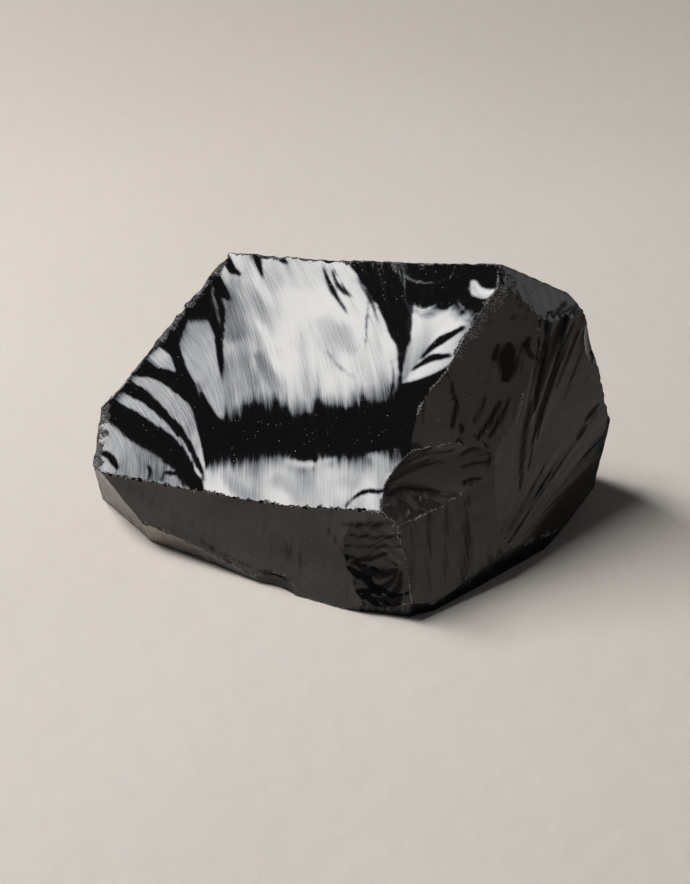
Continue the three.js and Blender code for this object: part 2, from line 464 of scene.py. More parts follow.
RIGHT_BAND_SIDE = [(61.8, 24.5), (62.4, 29.5), (63.8, 34), (64.3, 40)]
RIGHT_BAND_FOOT = [(61.5, 25.2), (68, 26.2), (72.5, 28.5), (75, 33)]
FOOT_TILT, BAND_TILT = 0.68, 0.74  # of the bright foot on the left and band on the right


def drawn(tilt, x, y, rows):
    """Draws one blade after another on a map of tilt."""
    for points, widths, value, soft in rows:
        tilt = blade(tilt, x, y, points, widths, value, soft)
    return tilt


# %% The whole map of tilt
def top_tilt(x, y):
    """The tilt of the top face at each place on it."""
    rib = rib_of(x, y)
    tilt, fine, warp = wave_tilt(x, y, rib)
    tilt, ragged = bound_tilt(tilt, x, y, rib, fine)
    tilt = tilt - FOOT_SHADE * ease(24, 34, x) * (1 - ease(13, 18, y))
    wander_x, wander_y = x + 0.18 * warp, y + 0.11 * warp
    tilt = drawn(tilt, wander_x, wander_y, FURROWS + DARK_DARTS + LEFT_SHEAF)

    _, sideways = along(x, y, LEFT_FOOT_EDGE)
    foot = ease(-0.9, 0.5, sideways + 0.7 * ragged)
    tilt = tilt * (1 - foot) + (FOOT_TILT + 0.2 * fine - 0.012 * (x - 10)) * foot
    tilt = drawn(tilt, wander_x, wander_y, FOOT_MARKS)

    _, sideways = along(x, y, RIGHT_BAND_SIDE)
    band = ease(-0.3, 0.2, sideways + 0.3 * ragged)
    band = band * (1 - ease(37, 41.5, y + 1.5 * ragged + 0.9 * warp + 0.25 * (x - 66)))
    _, sideways = along(x, y, RIGHT_BAND_FOOT)
    band = band * ease(-1.2, -0.2, -sideways)
    tilt = tilt * (1 - band) + (BAND_TILT + 0.2 * fine) * band
    tilt = drawn(tilt, wander_x, wander_y, RIGHT_SHEAF)
    return drawn(tilt, x, y, SHELL)


# %% [markdown]
# ## From tilt to height
#
# A tilt says how steeply the surface falls in one direction, so the height is found by
# adding the slopes up. Doing that along single lines would tear the surface into
# strips. A Fourier transform adds them up for the whole face at once and spreads any
# disagreement thinly. The lean that a flat face would need is worked out first, since
# the lamp is seen at a slightly different angle from each end of the stone.

# %% Solve the top face
TOP_STEP = (0.25, 0.35)  # mm between points, across and up
TOP_REACH = ((-4.0, 88.0), (-5.0, 62.0))  # mm covered, across and up
LEAN_AXIS = unit((4.05, 7.15))  # the direction on the face in which leaning meets the lamp
LEAN_GAIN = 8.22  # half lamp widths that the mirror image moves for each radian of lean
LEAN_LEVEL = 0.6  # half lamp widths for a tilt of 1
SIDE_STIFFNESS = 0.08  # higher keeps the slopes across the lean axis gentler
SOLVE_MARGIN = 120  # points of padding round the face
FLAT_MIDDLE = (40, 28)  # mm, where a flat face would show the edge of the lamp
FLAT_FALL = (0.0109, 0.0122)  # half lamp widths nearer its middle for each mm across and up
TOP_GAP, FACE_GAP = 0.02, 0.01  # mm that the glass stays inside each CAD plane


def heights_from_slopes(slopes, steps, axis):
    """A surface whose slope along the axis is as near as it can be to the slopes given."""
    mean = slopes.mean()
    padded = np.pad(slopes - mean, SOLVE_MARGIN, mode="edge")
    for side, count in enumerate(padded.shape):
        nearest_end = np.minimum(np.arange(count), np.arange(count)[::-1])
        fade = np.clip(nearest_end / SOLVE_MARGIN, 0, 1)
        padded = padded * (fade[:, None] if side == 0 else fade[None, :])
    turns_x = math.tau * np.fft.fftfreq(padded.shape[1], steps[0])[None, :]
    turns_y = math.tau * np.fft.fftfreq(padded.shape[0], steps[1])[:, None]
    with_axis = turns_x * axis[0] + turns_y * axis[1]
    cross_axis = turns_y * axis[0] - turns_x * axis[1]
    weight = with_axis**2 + SIDE_STIFFNESS * cross_axis**2
    weight[0, 0] = 1
    solved = np.real(np.fft.ifft2(-1j * with_axis * np.fft.fft2(padded) / weight))
    inner = slice(SOLVE_MARGIN, -SOLVE_MARGIN)
    return solved[inner, inner], mean


top_x, top_y = (np.arange(*reach, step) for reach, step in zip(TOP_REACH, TOP_STEP))
grid_x, grid_y = np.meshgrid(top_x, top_y)
tilt_map = top_tilt(grid_x, grid_y)
flat_image = 1 - FLAT_FALL[0] * (grid_x - FLAT_MIDDLE[0]) - FLAT_FALL[1] * (grid_y - FLAT_MIDDLE[1])
wanted_slopes = (1 - LEAN_LEVEL * tilt_map - flat_image) / LEAN_GAIN
top_heights, mean_slope = heights_from_slopes(wanted_slopes, TOP_STEP, LEAN_AXIS)
top_heights = top_heights + mean_slope * (grid_x * LEAN_AXIS[0] + grid_y * LEAN_AXIS[1])
over_top = on_stone("top", grid_x, grid_y)
top_heights = np.minimum(top_heights - top_heights[over_top].max(), 0) - TOP_GAP
print("top face relief, mm: down to", top_heights[over_top].min().round(2))

# %% [markdown]
# ## The other faces: shell breaks
#
# Every other face gets a plainer break. A blow lands at one point near the rim. From
# there the crack bulges out in a low dome, sends out ribs like the spokes of a fan,
# and leaves ripples like those on water. One function makes all of them, with its own
# blow, rib depth and ripple spacing for each face. Heights are at or below the CAD
# plane, since a break only ever takes stone away.


# %% A shell break
def shell_break(blow, dome, ribs, rib_turns, ripples, spacing, seed):
    """The relief of a face that was struck at one point, as a function of the place on it.
    The dome, ribs and ripples are heights, and the spacing is from ripple to ripple, in mm."""

    def relief(x, y):
        away_x, away_y = x - blow[0], y - blow[1]
        away = np.hypot(away_x, away_y)
        angle = np.arctan2(away_y, away_x)
        swirl = 0.35 * noise(away * 0.05, angle * 2, seed + 3)
        spoke = (angle + 0.1 * swirl) * rib_turns
        rib = noise(spoke, away * 0.035, seed) + 0.5 * noise(spoke * 2.6, away * 0.07, seed + 1)
        patch = noise(angle * 2.5, away * 0.05, seed + 7) + 0.5 * noise(x * 0.09, y * 0.09, seed + 8)
        rib = rib * ease(2, 14, away) * (0.15 + 1.2 * ease(-0.25, 0.7, patch))
        phase = away / spacing + 1.4 * noise(x * 0.06, y * 0.06, seed + 5)
        ripple = np.sin(math.tau * phase) * (0.55 + 0.45 * noise(x * 0.1, y * 0.1, seed + 6))
        swell = noise(x * 0.035, y * 0.035, seed + 2)
        return dome * swell + ribs * rib + ripples * ripple

    return relief


BREAKS = {
    "front": shell_break((-4, 34), 0.5, 0.07, 9, 0.03, 4.0, 21),
    "front_undercut": shell_break((-20, 20), 0.5, 0.08, 7, 0.04, 4.0, 22),
    "corner_foot_left": shell_break((-6, 12), 0.2, 0.08, 9, 0.05, 2.0, 35),
    "right": shell_break((18, -26), 0.35, 0.16, 22, 0.02, 3.0, 23),
    "corner_foot_right": shell_break((4, 12), 0.2, 0.08, 9, 0.05, 2.0, 36),
    "right_foot": shell_break((20, 16), 0.4, 0.1, 12, 0.04, 2.6, 37),
    "right_shoulder": shell_break((24, -22), 0.5, 0.16, 20, 0.03, 3.0, 24),
    "right_far": shell_break((14, 2), 0.6, 0.2, 13, 0.03, 3.2, 25),
    "crown": shell_break((30, 48), 0.3, 0.08, 9, 0.05, 2.4, 26),
    "right_undercut": shell_break((40, 10), 0.6, 0.12, 9, 0.05, 3.5, 27),
    "east": shell_break((0, 60), 0.8, 0.14, 9, 0.08, 4.0, 28),
    "east_undercut": shell_break((10, 30), 0.5, 0.1, 9, 0.05, 3.0, 29),
    "back_ridge": shell_break((20, 40), 0.35, 0.12, 11, 0.07, 4.0, 30),
    "back": shell_break((26, 60), 0.9, 0.18, 13, 0.1, 4.6, 31),
    "back_left": shell_break((-30, 50), 0.8, 0.16, 11, 0.09, 4.2, 32),
    "left": shell_break((0, 40), 0.4, 0.1, 9, 0.05, 3.2, 33),
    "left_undercut": shell_break((0, 30), 0.5, 0.12, 9, 0.06, 3.4, 34),
}

# %% [markdown]
# ## Knapping with booleans
#
# A knapper starts with a block and takes stone away, and so does this script. For each
# face it makes a cutter: a dense sheet that carries the relief, closed off with walls
# and a lid far outside the stone. Subtracting the cutter leaves its relief on the
# block. The edges between faces then come out uneven by themselves, where two reliefs
# meet. Blender's Manifold solver does this in well under a second a cut, and it keeps
# a number on each polygon that says which cutter it came from.

# %% A closed cutter from a sheet of heights
FAR_STEPS = np.array([6.0, 20.0, 60.0, 150.0])  # mm beyond the fine part of a sheet
cutter_names = ["block"]


def widened(fine):
    """Fine steps over a face, with long steps added at both ends."""
    return np.concatenate([fine[0] - FAR_STEPS[::-1], fine, fine[-1] + FAR_STEPS])


def sheet_solid(at, xs, ys, heights, lid):
    """Points and triangles of the space above a sheet and below a lid."""
    grid_x, grid_y = np.meshgrid(xs, ys)
    sheet = at.point(grid_x, grid_y, heights).reshape(-1, 3)
    index = np.arange(len(sheet)).reshape(heights.shape)
    a, b = index[:-1, :-1].ravel(), index[:-1, 1:].ravel()
    c, d = index[1:, 1:].ravel(), index[1:, :-1].ravel()
    floor = np.vstack([np.stack([a, c, b], 1), np.stack([a, d, c], 1)])
    rim = [index[0, :-1], index[:-1, -1], index[-1, :0:-1], index[:0:-1, 0]]
    rim = np.concatenate(rim)
    rim_x, rim_y = grid_x.ravel()[rim], grid_y.ravel()[rim]
    over = at.point(rim_x, rim_y, np.full(len(rim), lid))
    top = np.arange(len(rim)) + len(sheet)
    following = np.roll(np.arange(len(rim)), -1)
    walls = np.vstack(
        [
            np.stack([rim, rim[following], top[following]], 1),
            np.stack([rim, top[following], top], 1),
        ]
    )
    centre = np.full(len(rim), len(sheet) + len(rim))
    cap = np.stack([top, top[following], centre], 1)
    points = np.vstack([sheet, over, over.mean(axis=0)])
    return points, np.vstack([floor, walls, cap])


def mesh_of(name, points, triangles, tag):
    """An object from triangles in mm, with the cutter's number kept on each of them."""
    mesh = bpy.data.meshes.new(name)
    mesh.vertices.add(len(points))
    mesh.vertices.foreach_set("co", (points * MM).ravel())
    mesh.loops.add(triangles.size)
    mesh.loops.foreach_set("vertex_index", triangles.ravel().astype(np.int32))
    mesh.polygons.add(len(triangles))
    starts = np.arange(0, triangles.size, 3, dtype=np.int32)
    mesh.polygons.foreach_set("loop_start", starts)
    mesh.update(calc_edges=True)
    tags = mesh.attributes.new("cut_by", "INT", "FACE")
    tags.data.foreach_set("value", np.full(len(triangles), tag, np.int32))
    thing = bpy.data.objects.new(name, mesh)
    bpy.context.scene.collection.objects.link(thing)
    return thing


# %% Cutters for the fracture faces
FACE_STEPS = {  # mm between points across and up, and mm of margin
    "front": (0.4, 0.45, 4),
    "front_undercut": (0.5, 0.5, 5),
    "corner_foot_left": (0.4, 0.4, 3),
    "corner_foot_right": (0.4, 0.4, 3),
    "right_foot": (0.5, 0.5, 4),
    "right": (0.35, 0.5, 9),
    "right_shoulder": (0.35, 0.5, 9),
    "right_far": (0.35, 0.5, 9),
    "crown": (0.35, 0.35, 5),
}
HIDDEN_STEPS = (0.7, 0.7, 5)
LID = 90.0  # mm out from each face
relief_grids = {}
cutters = []

for name, face in faces.items():
    if name == "top":
        xs, ys = widened(top_x), widened(top_y)
        heights = np.pad(top_heights, len(FAR_STEPS), mode="edge")
    else:
        step_x, step_y, margin = FACE_STEPS.get(name, HIDDEN_STEPS)
        low, high = face.low - margin, face.high + margin
        xs = widened(np.arange(low[0], high[0], step_x))
        ys = widened(np.arange(low[1], high[1], step_y))
        x, y = np.meshgrid(np.clip(xs, low[0], high[0]), np.clip(ys, low[1], high[1]))
        heights = BREAKS[name](x, y)
        heights = np.minimum(heights - heights[on_stone(name, x, y)].max(), 0) - FACE_GAP
    relief_grids[name] = (xs, ys, heights)
    cutter_names.append(name)
    points, triangles = sheet_solid(face, xs, ys, heights, LID)
    cutters.append(mesh_of("cutter_" + name, points, triangles, len(cutter_names) - 1))
    print(f"{name:15s} {len(triangles):6d} triangles, relief down to {heights.min():.2f} mm")


# %% [markdown]
# ## Flake scars
#
# Where a smaller flake has come away it leaves a shallow bowl with a crisp edge, and
# rings that circle the point of the blow. Each one is a cutter of its own, because a
# separate cut gives the crisp edge for nothing. A scar is placed by its middle on a
# face, its half widths, its turn on the face, its depth and where the blow fell.


# %% A bowl-shaped cutter
BOWL_STEP = 0.3  # mm between the points of a bowl that shows


class Spot(Axes):
    """Where a scar or a chip is, and which way its hollow opens."""

    def __init__(self, origin, out, across):
        self.origin = np.asarray(origin, float)
        self.out = unit(out)
        self.lay_out(across)


def height_on(name, x, y):
    """The relief of a face at a place on it, in mm."""
    xs, ys, heights = relief_grids[name]
    column = int(np.clip(np.searchsorted(xs, x), 1, len(xs) - 1))
    row = int(np.clip(np.searchsorted(ys, y), 1, len(ys) - 1))
    return float(heights[row - 1 : row + 1, column - 1 : column + 1].mean())


def bowl_solid(at, half, depth, blow, ribs, rings, rise, seed, step):
    """A bowl with ribs that fan out from the blow and rings (spacing, height) round it."""
    stretch = 1.5 * math.sqrt(1 + rise / depth)
    xs = np.arange(-stretch * half[0], stretch * half[0] + step, step)
    ys = np.arange(-stretch * half[1], stretch * half[1] + step, step)
    x, y = np.meshgrid(xs, ys)
    edge = 1 + 0.16 * noise(x * 0.35, y * 0.35, seed)
    bowl = depth * (((x / half[0]) ** 2 + (y / half[1]) ** 2) * edge - 1)
    from_x, from_y = x - blow[0] * half[0], y - blow[1] * half[1]
    from_blow = np.hypot(from_x, from_y)
    angle = np.arctan2(from_y, from_x)
    if rings:
        spacing, height = rings
        phase = from_blow / spacing + 0.5 * noise(x * 0.2, y * 0.2, seed + 1)
        fade = 0.5 + 0.6 * noise(x * 0.16, y * 0.16, seed + 4)
        bowl = bowl + height * fade * np.sin(math.tau * phase)
    if ribs:
        turns, height = ribs
        spoke = noise(angle * turns, from_blow * 0.08, seed + 2)
        spoke = spoke + 0.5 * noise(angle * turns * 2.7, from_blow * 0.14, seed + 3)
        bowl = bowl + height * spoke * ease(0.5, 5, from_blow)
    lid = max(1.3 * depth, 0.5) + 1.3 * rise
    return sheet_solid(at, xs, ys, np.minimum(bowl, lid - 0.05), lid)


def scar_on(
    on, middle, half, depth, turn=0, lean=(0, 0), blow=(0, 1), ribs=None, rings=None, step=BOWL_STEP
):
    """A scar within one face: lean tips it across and up the face."""
    face = faces[on]
    angle = math.radians(turn)
    out = face.out + math.tan(math.radians(lean[0])) * face.across
    out = out + math.tan(math.radians(lean[1])) * face.up
    across = math.cos(angle) * face.across + math.sin(angle) * face.up
    at = Spot(face.point(*middle, height_on(on, *middle)), out, across)
    seed = int(abs(middle[0] * 7 + middle[1] * 13)) + 3
    return at, bowl_solid(at, half, depth, blow, ribs, rings, 0, seed, step)


def scar_between(first, second, across_rim, reach, depth, blow, turn=0, ribs=None, rings=None):
    """A scar across the rim of two faces, between places in mm from the setting-out point.
    It reaches as far as it says along the rim, to each side of its middle."""
    a, b = faces[across_rim[0]], faces[across_rim[1]]
    first, second = setting_out + np.array(first), setting_out + np.array(second)
    chord = unit(second - first)
    rim = np.cross(a.out, b.out)
    rim = rim if rim[2] > 0 else -rim
    out = np.cross(chord, rim)
    out = out if out @ a.out > 0 else -out
    tip = math.radians(turn)
    out = unit(out) * math.cos(tip) + np.cross(unit(out), chord) * math.sin(tip)
    at = Spot((first + second) / 2, out, chord)
    ridge = np.linalg.solve(
        [a.out, b.out, at.up], [a.out @ a.origin, b.out @ b.origin, at.up @ at.origin]
    )
    rise = max((ridge - at.origin) @ at.out, 0)
    half = (np.linalg.norm(second - first) / 2, reach / math.sqrt(1 + rise / depth))
    print(f"scar across a rim: it takes {rise + depth:.1f} mm off the edge")
    seed = int(abs(first[0] * 5 + second[2] * 11)) + 5
    return at, bowl_solid(at, half, depth, blow, ribs, rings, rise, seed, BOWL_STEP)


# %% The scars that show
TOP_RIM = ("top", "right_shoulder")
RIM_SCARS = {
    "brown_flake": dict(first=(0.6, 17.4, 31.8), second=(12.6, 19.2, 30.4), across_rim=TOP_RIM,
                        reach=13, depth=0.5, blow=(0.6, 1.3), ribs=(5, 0.04)),
    "crown_flake": dict(first=(6.7, 22.1, 37.6), second=(22.6, 24.7, 31.0), across_rim=TOP_RIM,
                        reach=22, depth=0.9, blow=(0.2, 1.1), ribs=(5, 0.05)),
    "near_shell": dict(first=(-4.2, 9.4, 24.5), second=(15.4, 16.2, 23.2), across_rim=TOP_RIM,
                       reach=9, depth=0.7, blow=(-1.05, -0.3), turn=-8, ribs=(7, 0.12),
                       rings=(1.5, 0.03)),
}
FACE_SCARS = {
    "corner_hackle": dict(on="front", middle=(-7, 11), half=(10.5, 6.4), depth=1.0, turn=-47,
                          lean=(7, -2), blow=(-0.4, 1.5), ribs=(9, 0.09), rings=(2.6, 0.1)),
    "corner_shell": dict(on="front", middle=(-4.4, 5.6), half=(6.2, 4.2), depth=0.8, turn=-40,
                         lean=(6, -8), blow=(0.3, 1.5), rings=(2.0, 0.2)),
    "foot_notch": dict(on="front", middle=(-24.6, 1.0), half=(4.4, 2.4), depth=1.0, turn=10,
                       lean=(0, -22), blow=(0, 1), rings=(1.1, 0.05)),
    "right_rim": dict(on="right_far", middle=(51.4, 33.5), half=(3.0, 4.6), depth=0.8, turn=0,
                      lean=(12, 2), blow=(0, 1), rings=(1.6, 0.05)),
    "back_right": dict(on="back", middle=(34, 22), half=(16, 12), depth=1.6, turn=10,
                       blow=(0, 1), rings=(3.2, 0.1), step=0.6),
    "back_middle": dict(on="back", middle=(6, 14), half=(13, 11), depth=1.3, turn=-14,
                        blow=(0.2, 1), rings=(3.0, 0.1), step=0.6),
    "back_corner": dict(on="back_left", middle=(-24, 16), half=(11, 12), depth=1.4, turn=8,
                        blow=(0, 1), rings=(2.8, 0.09), step=0.6),
    "right_end": dict(on="east", middle=(0, 22), half=(8, 9), depth=0.9, turn=8,
                      blow=(0, 1), rings=(2.4, 0.07), step=0.5),
}
scars = {name: scar_between(**scar) for name, scar in RIM_SCARS.items()}
scars.update({name: scar_on(**scar) for name, scar in FACE_SCARS.items()})
for name, (at, (points, triangles)) in scars.items():
    cutter_names.append(name)
    cutters.append(mesh_of("cutter_" + name, points, triangles, len(cutter_names) - 1))
print("scars:", list(scars))

# %% [markdown]
# ## Chips along the rims
#
# A glass edge never stays whole. Every knock takes off a chip a millimetre or two wide.
# The chips are tiny bowls strung along the rims between faces, uneven in size and
# spacing. They are cut in a few batches, each batch one mesh of bowls that do not
# touch each other, which is much quicker than a cut for each chip.


# %% Where a rim really runs
def rim_point(first, second, start):
    """The place where the reliefs of two faces meet, level with a starting place."""
    a, b = faces[first], faces[second]
    rows = np.array([a.out, b.out, np.cross(a.out, b.out)])
    place = start
    for _ in range(4):
        local_a, local_b = a.local(place), b.local(place)
        level_a = a.out @ a.origin + height_on(first, local_a[0], local_a[1])
        level_b = b.out @ b.origin + height_on(second, local_b[0], local_b[1])
        place = np.linalg.solve(rows, [level_a, level_b, rows[2] @ start])
    return place


# Each row: two faces, the rim's ends in mm from the setting-out point, how many, and widths.
RIMS = [
    ("top", "front", (-55, 25.2, 13.6), (-3.6, 3.7, 22.2), 40, (0.25, 0.6)),
    ("top", "front", (-20, 10.6, 19.4), (-3.6, 3.7, 22.2), 6, (0.3, 0.8)),
    ("top", "right_shoulder", (-2.6, 4.2, 23), (16.9, 30.4, 48.4), 12, (0.4, 1.1)),
    ("top", "back_left", (-57, 39, 21.7), (-34, 56.9, 43.3), 26, (0.6, 2.0)),
    ("top", "left", (-58.2, 27, 13.4), (-57, 39, 21.7), 6, (0.6, 1.8)),
    ("top", "back_ridge", (-34, 56.9, 43.3), (17.1, 36.3, 52.3), 30, (0.4, 1.4)),
    ("front", "right", (-0.8, -1.6, 6.6), (-1.8, 1.7, 17.4), 12, (0.5, 1.4)),
    ("front", "front_undercut", (-53.2, 22.2, 5.4), (-12.8, 2.2, 0.2), 14, (0.5, 1.4)),
    ("crown", "right_far", (26.2, 33, 42.6), (33.1, 38.8, 40.9), 7, (0.6, 1.6)),
    ("crown", "top", (16.9, 30.4, 48.4), (17.1, 36.3, 52.3), 6, (0.7, 1.8)),
    ("crown", "right_shoulder", (16.9, 30.4, 48.4), (26.2, 33, 42.6), 7, (0.5, 1.5)),
    ("right_shoulder", "right_far", (16.9, 17.3, 24.5), (26.2, 33, 42.6), 8, (0.3, 0.9)),
    ("right_far", "east", (33.1, 38.8, 40.9), (39.9, 36.1, 17.9), 12, (0.4, 1.4)),
    ("right_foot", "right_far", (18.7, 11.6, 5.8), (30.9, 22.2, 3.8), 8, (0.4, 1.3)),
    ("back_ridge", "back", (-28.7, 66.7, 30.4), (31.3, 40.4, 43.5), 20, (1.0, 3.0)),
    ("back_left", "back", (-28.7, 66.7, 30.4), (-32, 72.6, 4), 8, (1.0, 3.0)),
]
CHIP_STEPS = 13  # points along each side of a chip's sheet
CHIP_SHARE = (0.16, 0.3)  # depth of a chip as a share of its half width
BATCHES = 5
BATCH_GAP = 2.3  # half widths between the middles of two chips in a batch

rng = np.random.default_rng(11)
batches = [[] for _ in range(BATCHES)]
for first, second, start, end, count, widths in RIMS:
    for i in range(count):
        share = (i + rng.uniform(0.05, 0.95)) / count
        guide = setting_out + np.array(start) * (1 - share) + np.array(end) * share
        place = rim_point(first, second, guide)
        lean = rng.uniform(0.25, 0.75)
        out = faces[first].out * lean + faces[second].out * (1 - lean)
        out = unit(out + rng.normal(0, 0.12, 3))
        half = widths[0] + (widths[1] - widths[0]) * rng.random() ** 2.2
        depth = half * rng.uniform(*CHIP_SHARE)
        at = Spot(place - out * depth * 0.2, out, faces[first].across + rng.normal(0, 0.6, 3))
        xs = np.linspace(-1.5 * half, 1.5 * half, CHIP_STEPS)
        x, y = np.meshgrid(xs, xs)
        bowl = depth * ((x / half) ** 2 + (y / (half * rng.uniform(0.7, 1.3))) ** 2 - 1)
        lid = max(2.4 * depth, 0.35 * half)
        solid = sheet_solid(at, xs, xs, np.minimum(bowl, lid * 0.95), lid)
        free = [
            b for b, group in enumerate(batches)
            if all(
                np.linalg.norm(place - other) > BATCH_GAP * (half + size)
                for other, size, _ in group
            )
        ]
        if free:
            batches[free[i % len(free)]].append((place, half, solid))

for i, group in enumerate(batches):
    points, triangles, count = [], [], 0
    for _, _, solid in group:
        points.append(solid[0])
        triangles.append(solid[1] + count)
        count += len(solid[0])
    cutter_names.append("chip")
    tag = len(cutter_names) - 1
    cutters.append(mesh_of(f"cutter_chips_{i}", np.vstack(points), np.vstack(triangles), tag))
print("chips:", [len(group) for group in batches])

# %% Make the block and take everything away
corners = np.array(
    [[x, y, z] for x in (0, 1) for y in (0, 1) for z in (0, 1)]
) * (block_high - block_low) + block_low
block_sides = np.array(
    [
        [0, 1, 3], [0, 3, 2], [4, 6, 7], [4, 7, 5], [0, 4, 5], [0, 5, 1],
        [2, 3, 7], [2, 7, 6], [0, 2, 6], [0, 6, 4], [1, 5, 7], [1, 7, 3],
    ]
)
block = mesh_of("block", corners, block_sides, 0)
for cutter in cutters:
    cut = block.modifiers.new(cutter.name, "BOOLEAN")
    cut.operation = "DIFFERENCE"
    cut.solver = "MANIFOLD"
    cut.object = cutter
depsgraph = bpy.context.evaluated_depsgraph_get()
stone_mesh = bpy.data.meshes.new_from_object(block.evaluated_get(depsgraph))
stone_mesh.name = "obsidian_stone"
for thing in [block, *cutters]:
    bpy.data.objects.remove(thing)
stone = bpy.data.objects.new("obsidian_stone", stone_mesh)
bpy.context.scene.collection.objects.link(stone)
stone_mesh.calc_loop_triangles()
print("stone:", len(stone_mesh.vertices), "vertices,", len(stone_mesh.loop_triangles), "triangles")

# %% [markdown]
# ## Keep the one stone
#
# A cut can leave a crumb hanging in the air. Real stone would have dropped it, so only
# the largest connected body is kept.

# %% Drop loose crumbs
def numbers_of(collection, key, width=1, kind=float):
    """One property of every item of a mesh collection, as rows of numbers."""
    values = np.zeros(len(collection) * width, kind)
    collection.foreach_get(key, values)
    return values.reshape(-1, width) if width > 1 else values


edge_ends = numbers_of(stone_mesh.edges, "vertices", 2, np.int32)
island = np.arange(len(stone_mesh.vertices))
while True:
    lower = np.minimum(island[edge_ends[:, 0]], island[edge_ends[:, 1]])
    renewed = island.copy()
    np.minimum.at(renewed, edge_ends[:, 0], lower)
    np.minimum.at(renewed, edge_ends[:, 1], lower)
    renewed = renewed[renewed]
    if (renewed == island).all():
        break
    island = renewed
islands, counts = np.unique(island, return_counts=True)
print("separate bodies:", len(islands), "largest", counts.max(), "vertices")
if len(islands) > 1:
    made = bmesh.new()
    made.from_mesh(stone_mesh)
    made.verts.ensure_lookup_table()
    keep = islands[counts.argmax()]
    loose = [made.verts[int(i)] for i in np.flatnonzero(island != keep)]
    bmesh.ops.delete(made, geom=loose, context="VERTS")
    made.to_mesh(stone_mesh)
    made.free()

# %% [markdown]
# ## Smooth glass and sharp edges
#
# The relief is smooth glass, so its polygons are shaded smooth, and the rims are true
# sharp edges. An angle tells the two apart: inside a face neighbouring polygons turn
# by a few degrees, and across a rim by tens of degrees.

# %% Shading and the numbers the finish needs
SHARP_ANGLE = 24  # degrees between polygons on either side of a crease
RIM_ANGLE = 44  # degrees at a rim that is thin enough to crush
WORN_REACH = 0.9  # mm from a rim over which the glass is crushed and worn
CRUSHED_SHARE = 1.35  # how crushed a bad stretch is at its middle, where a thin rim is 1
CRUSHED = [  # badly crushed stretches: from, to, how many spots and how far each one reaches
    ((-48, 45.6, 29.4), (-34.5, 55.6, 42.2), 9, 2.6),  # back left rim
    ((-57.6, 28, 14), (-56.6, 38, 21), 5, 2.3),  # left tip
    ((9.9, 24.6, 40.4), (18.6, 34.6, 49.0), 9, 2.0),  # crown corner
    ((-3.6, 4.4, 22), (-0.6, 0.9, 16.2), 5, 1.6),  # over the near corner
]

stone_mesh.polygons.foreach_set("use_smooth", np.ones(len(stone_mesh.polygons), bool))
stone_mesh.set_sharp_from_angle(angle=math.radians(RIM_ANGLE))

where = numbers_of(stone_mesh.vertices, "co", 3) / MM
edge_ends = numbers_of(stone_mesh.edges, "vertices", 2, np.int32)
sharp = numbers_of(stone_mesh.attributes["sharp_edge"].data, "value", kind=bool)
rim_places = np.unique(edge_ends[sharp].ravel())
tree = KDTree(len(rim_places))
for i, index in enumerate(rim_places):
    tree.insert(where[index], i)
tree.balance()
from_rim = np.array([tree.find(place)[2] for place in where])
worn = np.clip(1 - from_rim / WORN_REACH, 0, 1)
for first, last, count, reach in CRUSHED:
    for share in np.linspace(0, 1, count):
        middle = setting_out + np.array(first) * (1 - share) + np.array(last) * share
        away = np.linalg.norm(where - middle, axis=1)
        worn = np.maximum(worn, CRUSHED_SHARE * np.clip(1 - away / reach, 0, 1) ** 0.5)


def store(name, values, domain="CORNER"):
    """Keeps a number or a vector on each corner or point of the stone's mesh."""
    kind, key = ("FLOAT_VECTOR", "vector") if values.ndim > 1 else ("FLOAT", "value")
    attribute = stone_mesh.attributes.new(name, kind, domain)
    attribute.data.foreach_set(key, values.astype(np.float32).ravel())


store("worn", worn, "POINT")
stone_mesh.set_sharp_from_angle(angle=math.radians(SHARP_ANGLE))
print("rim edges:", int(sharp.sum()), " worn share:", worn.mean().round(3))
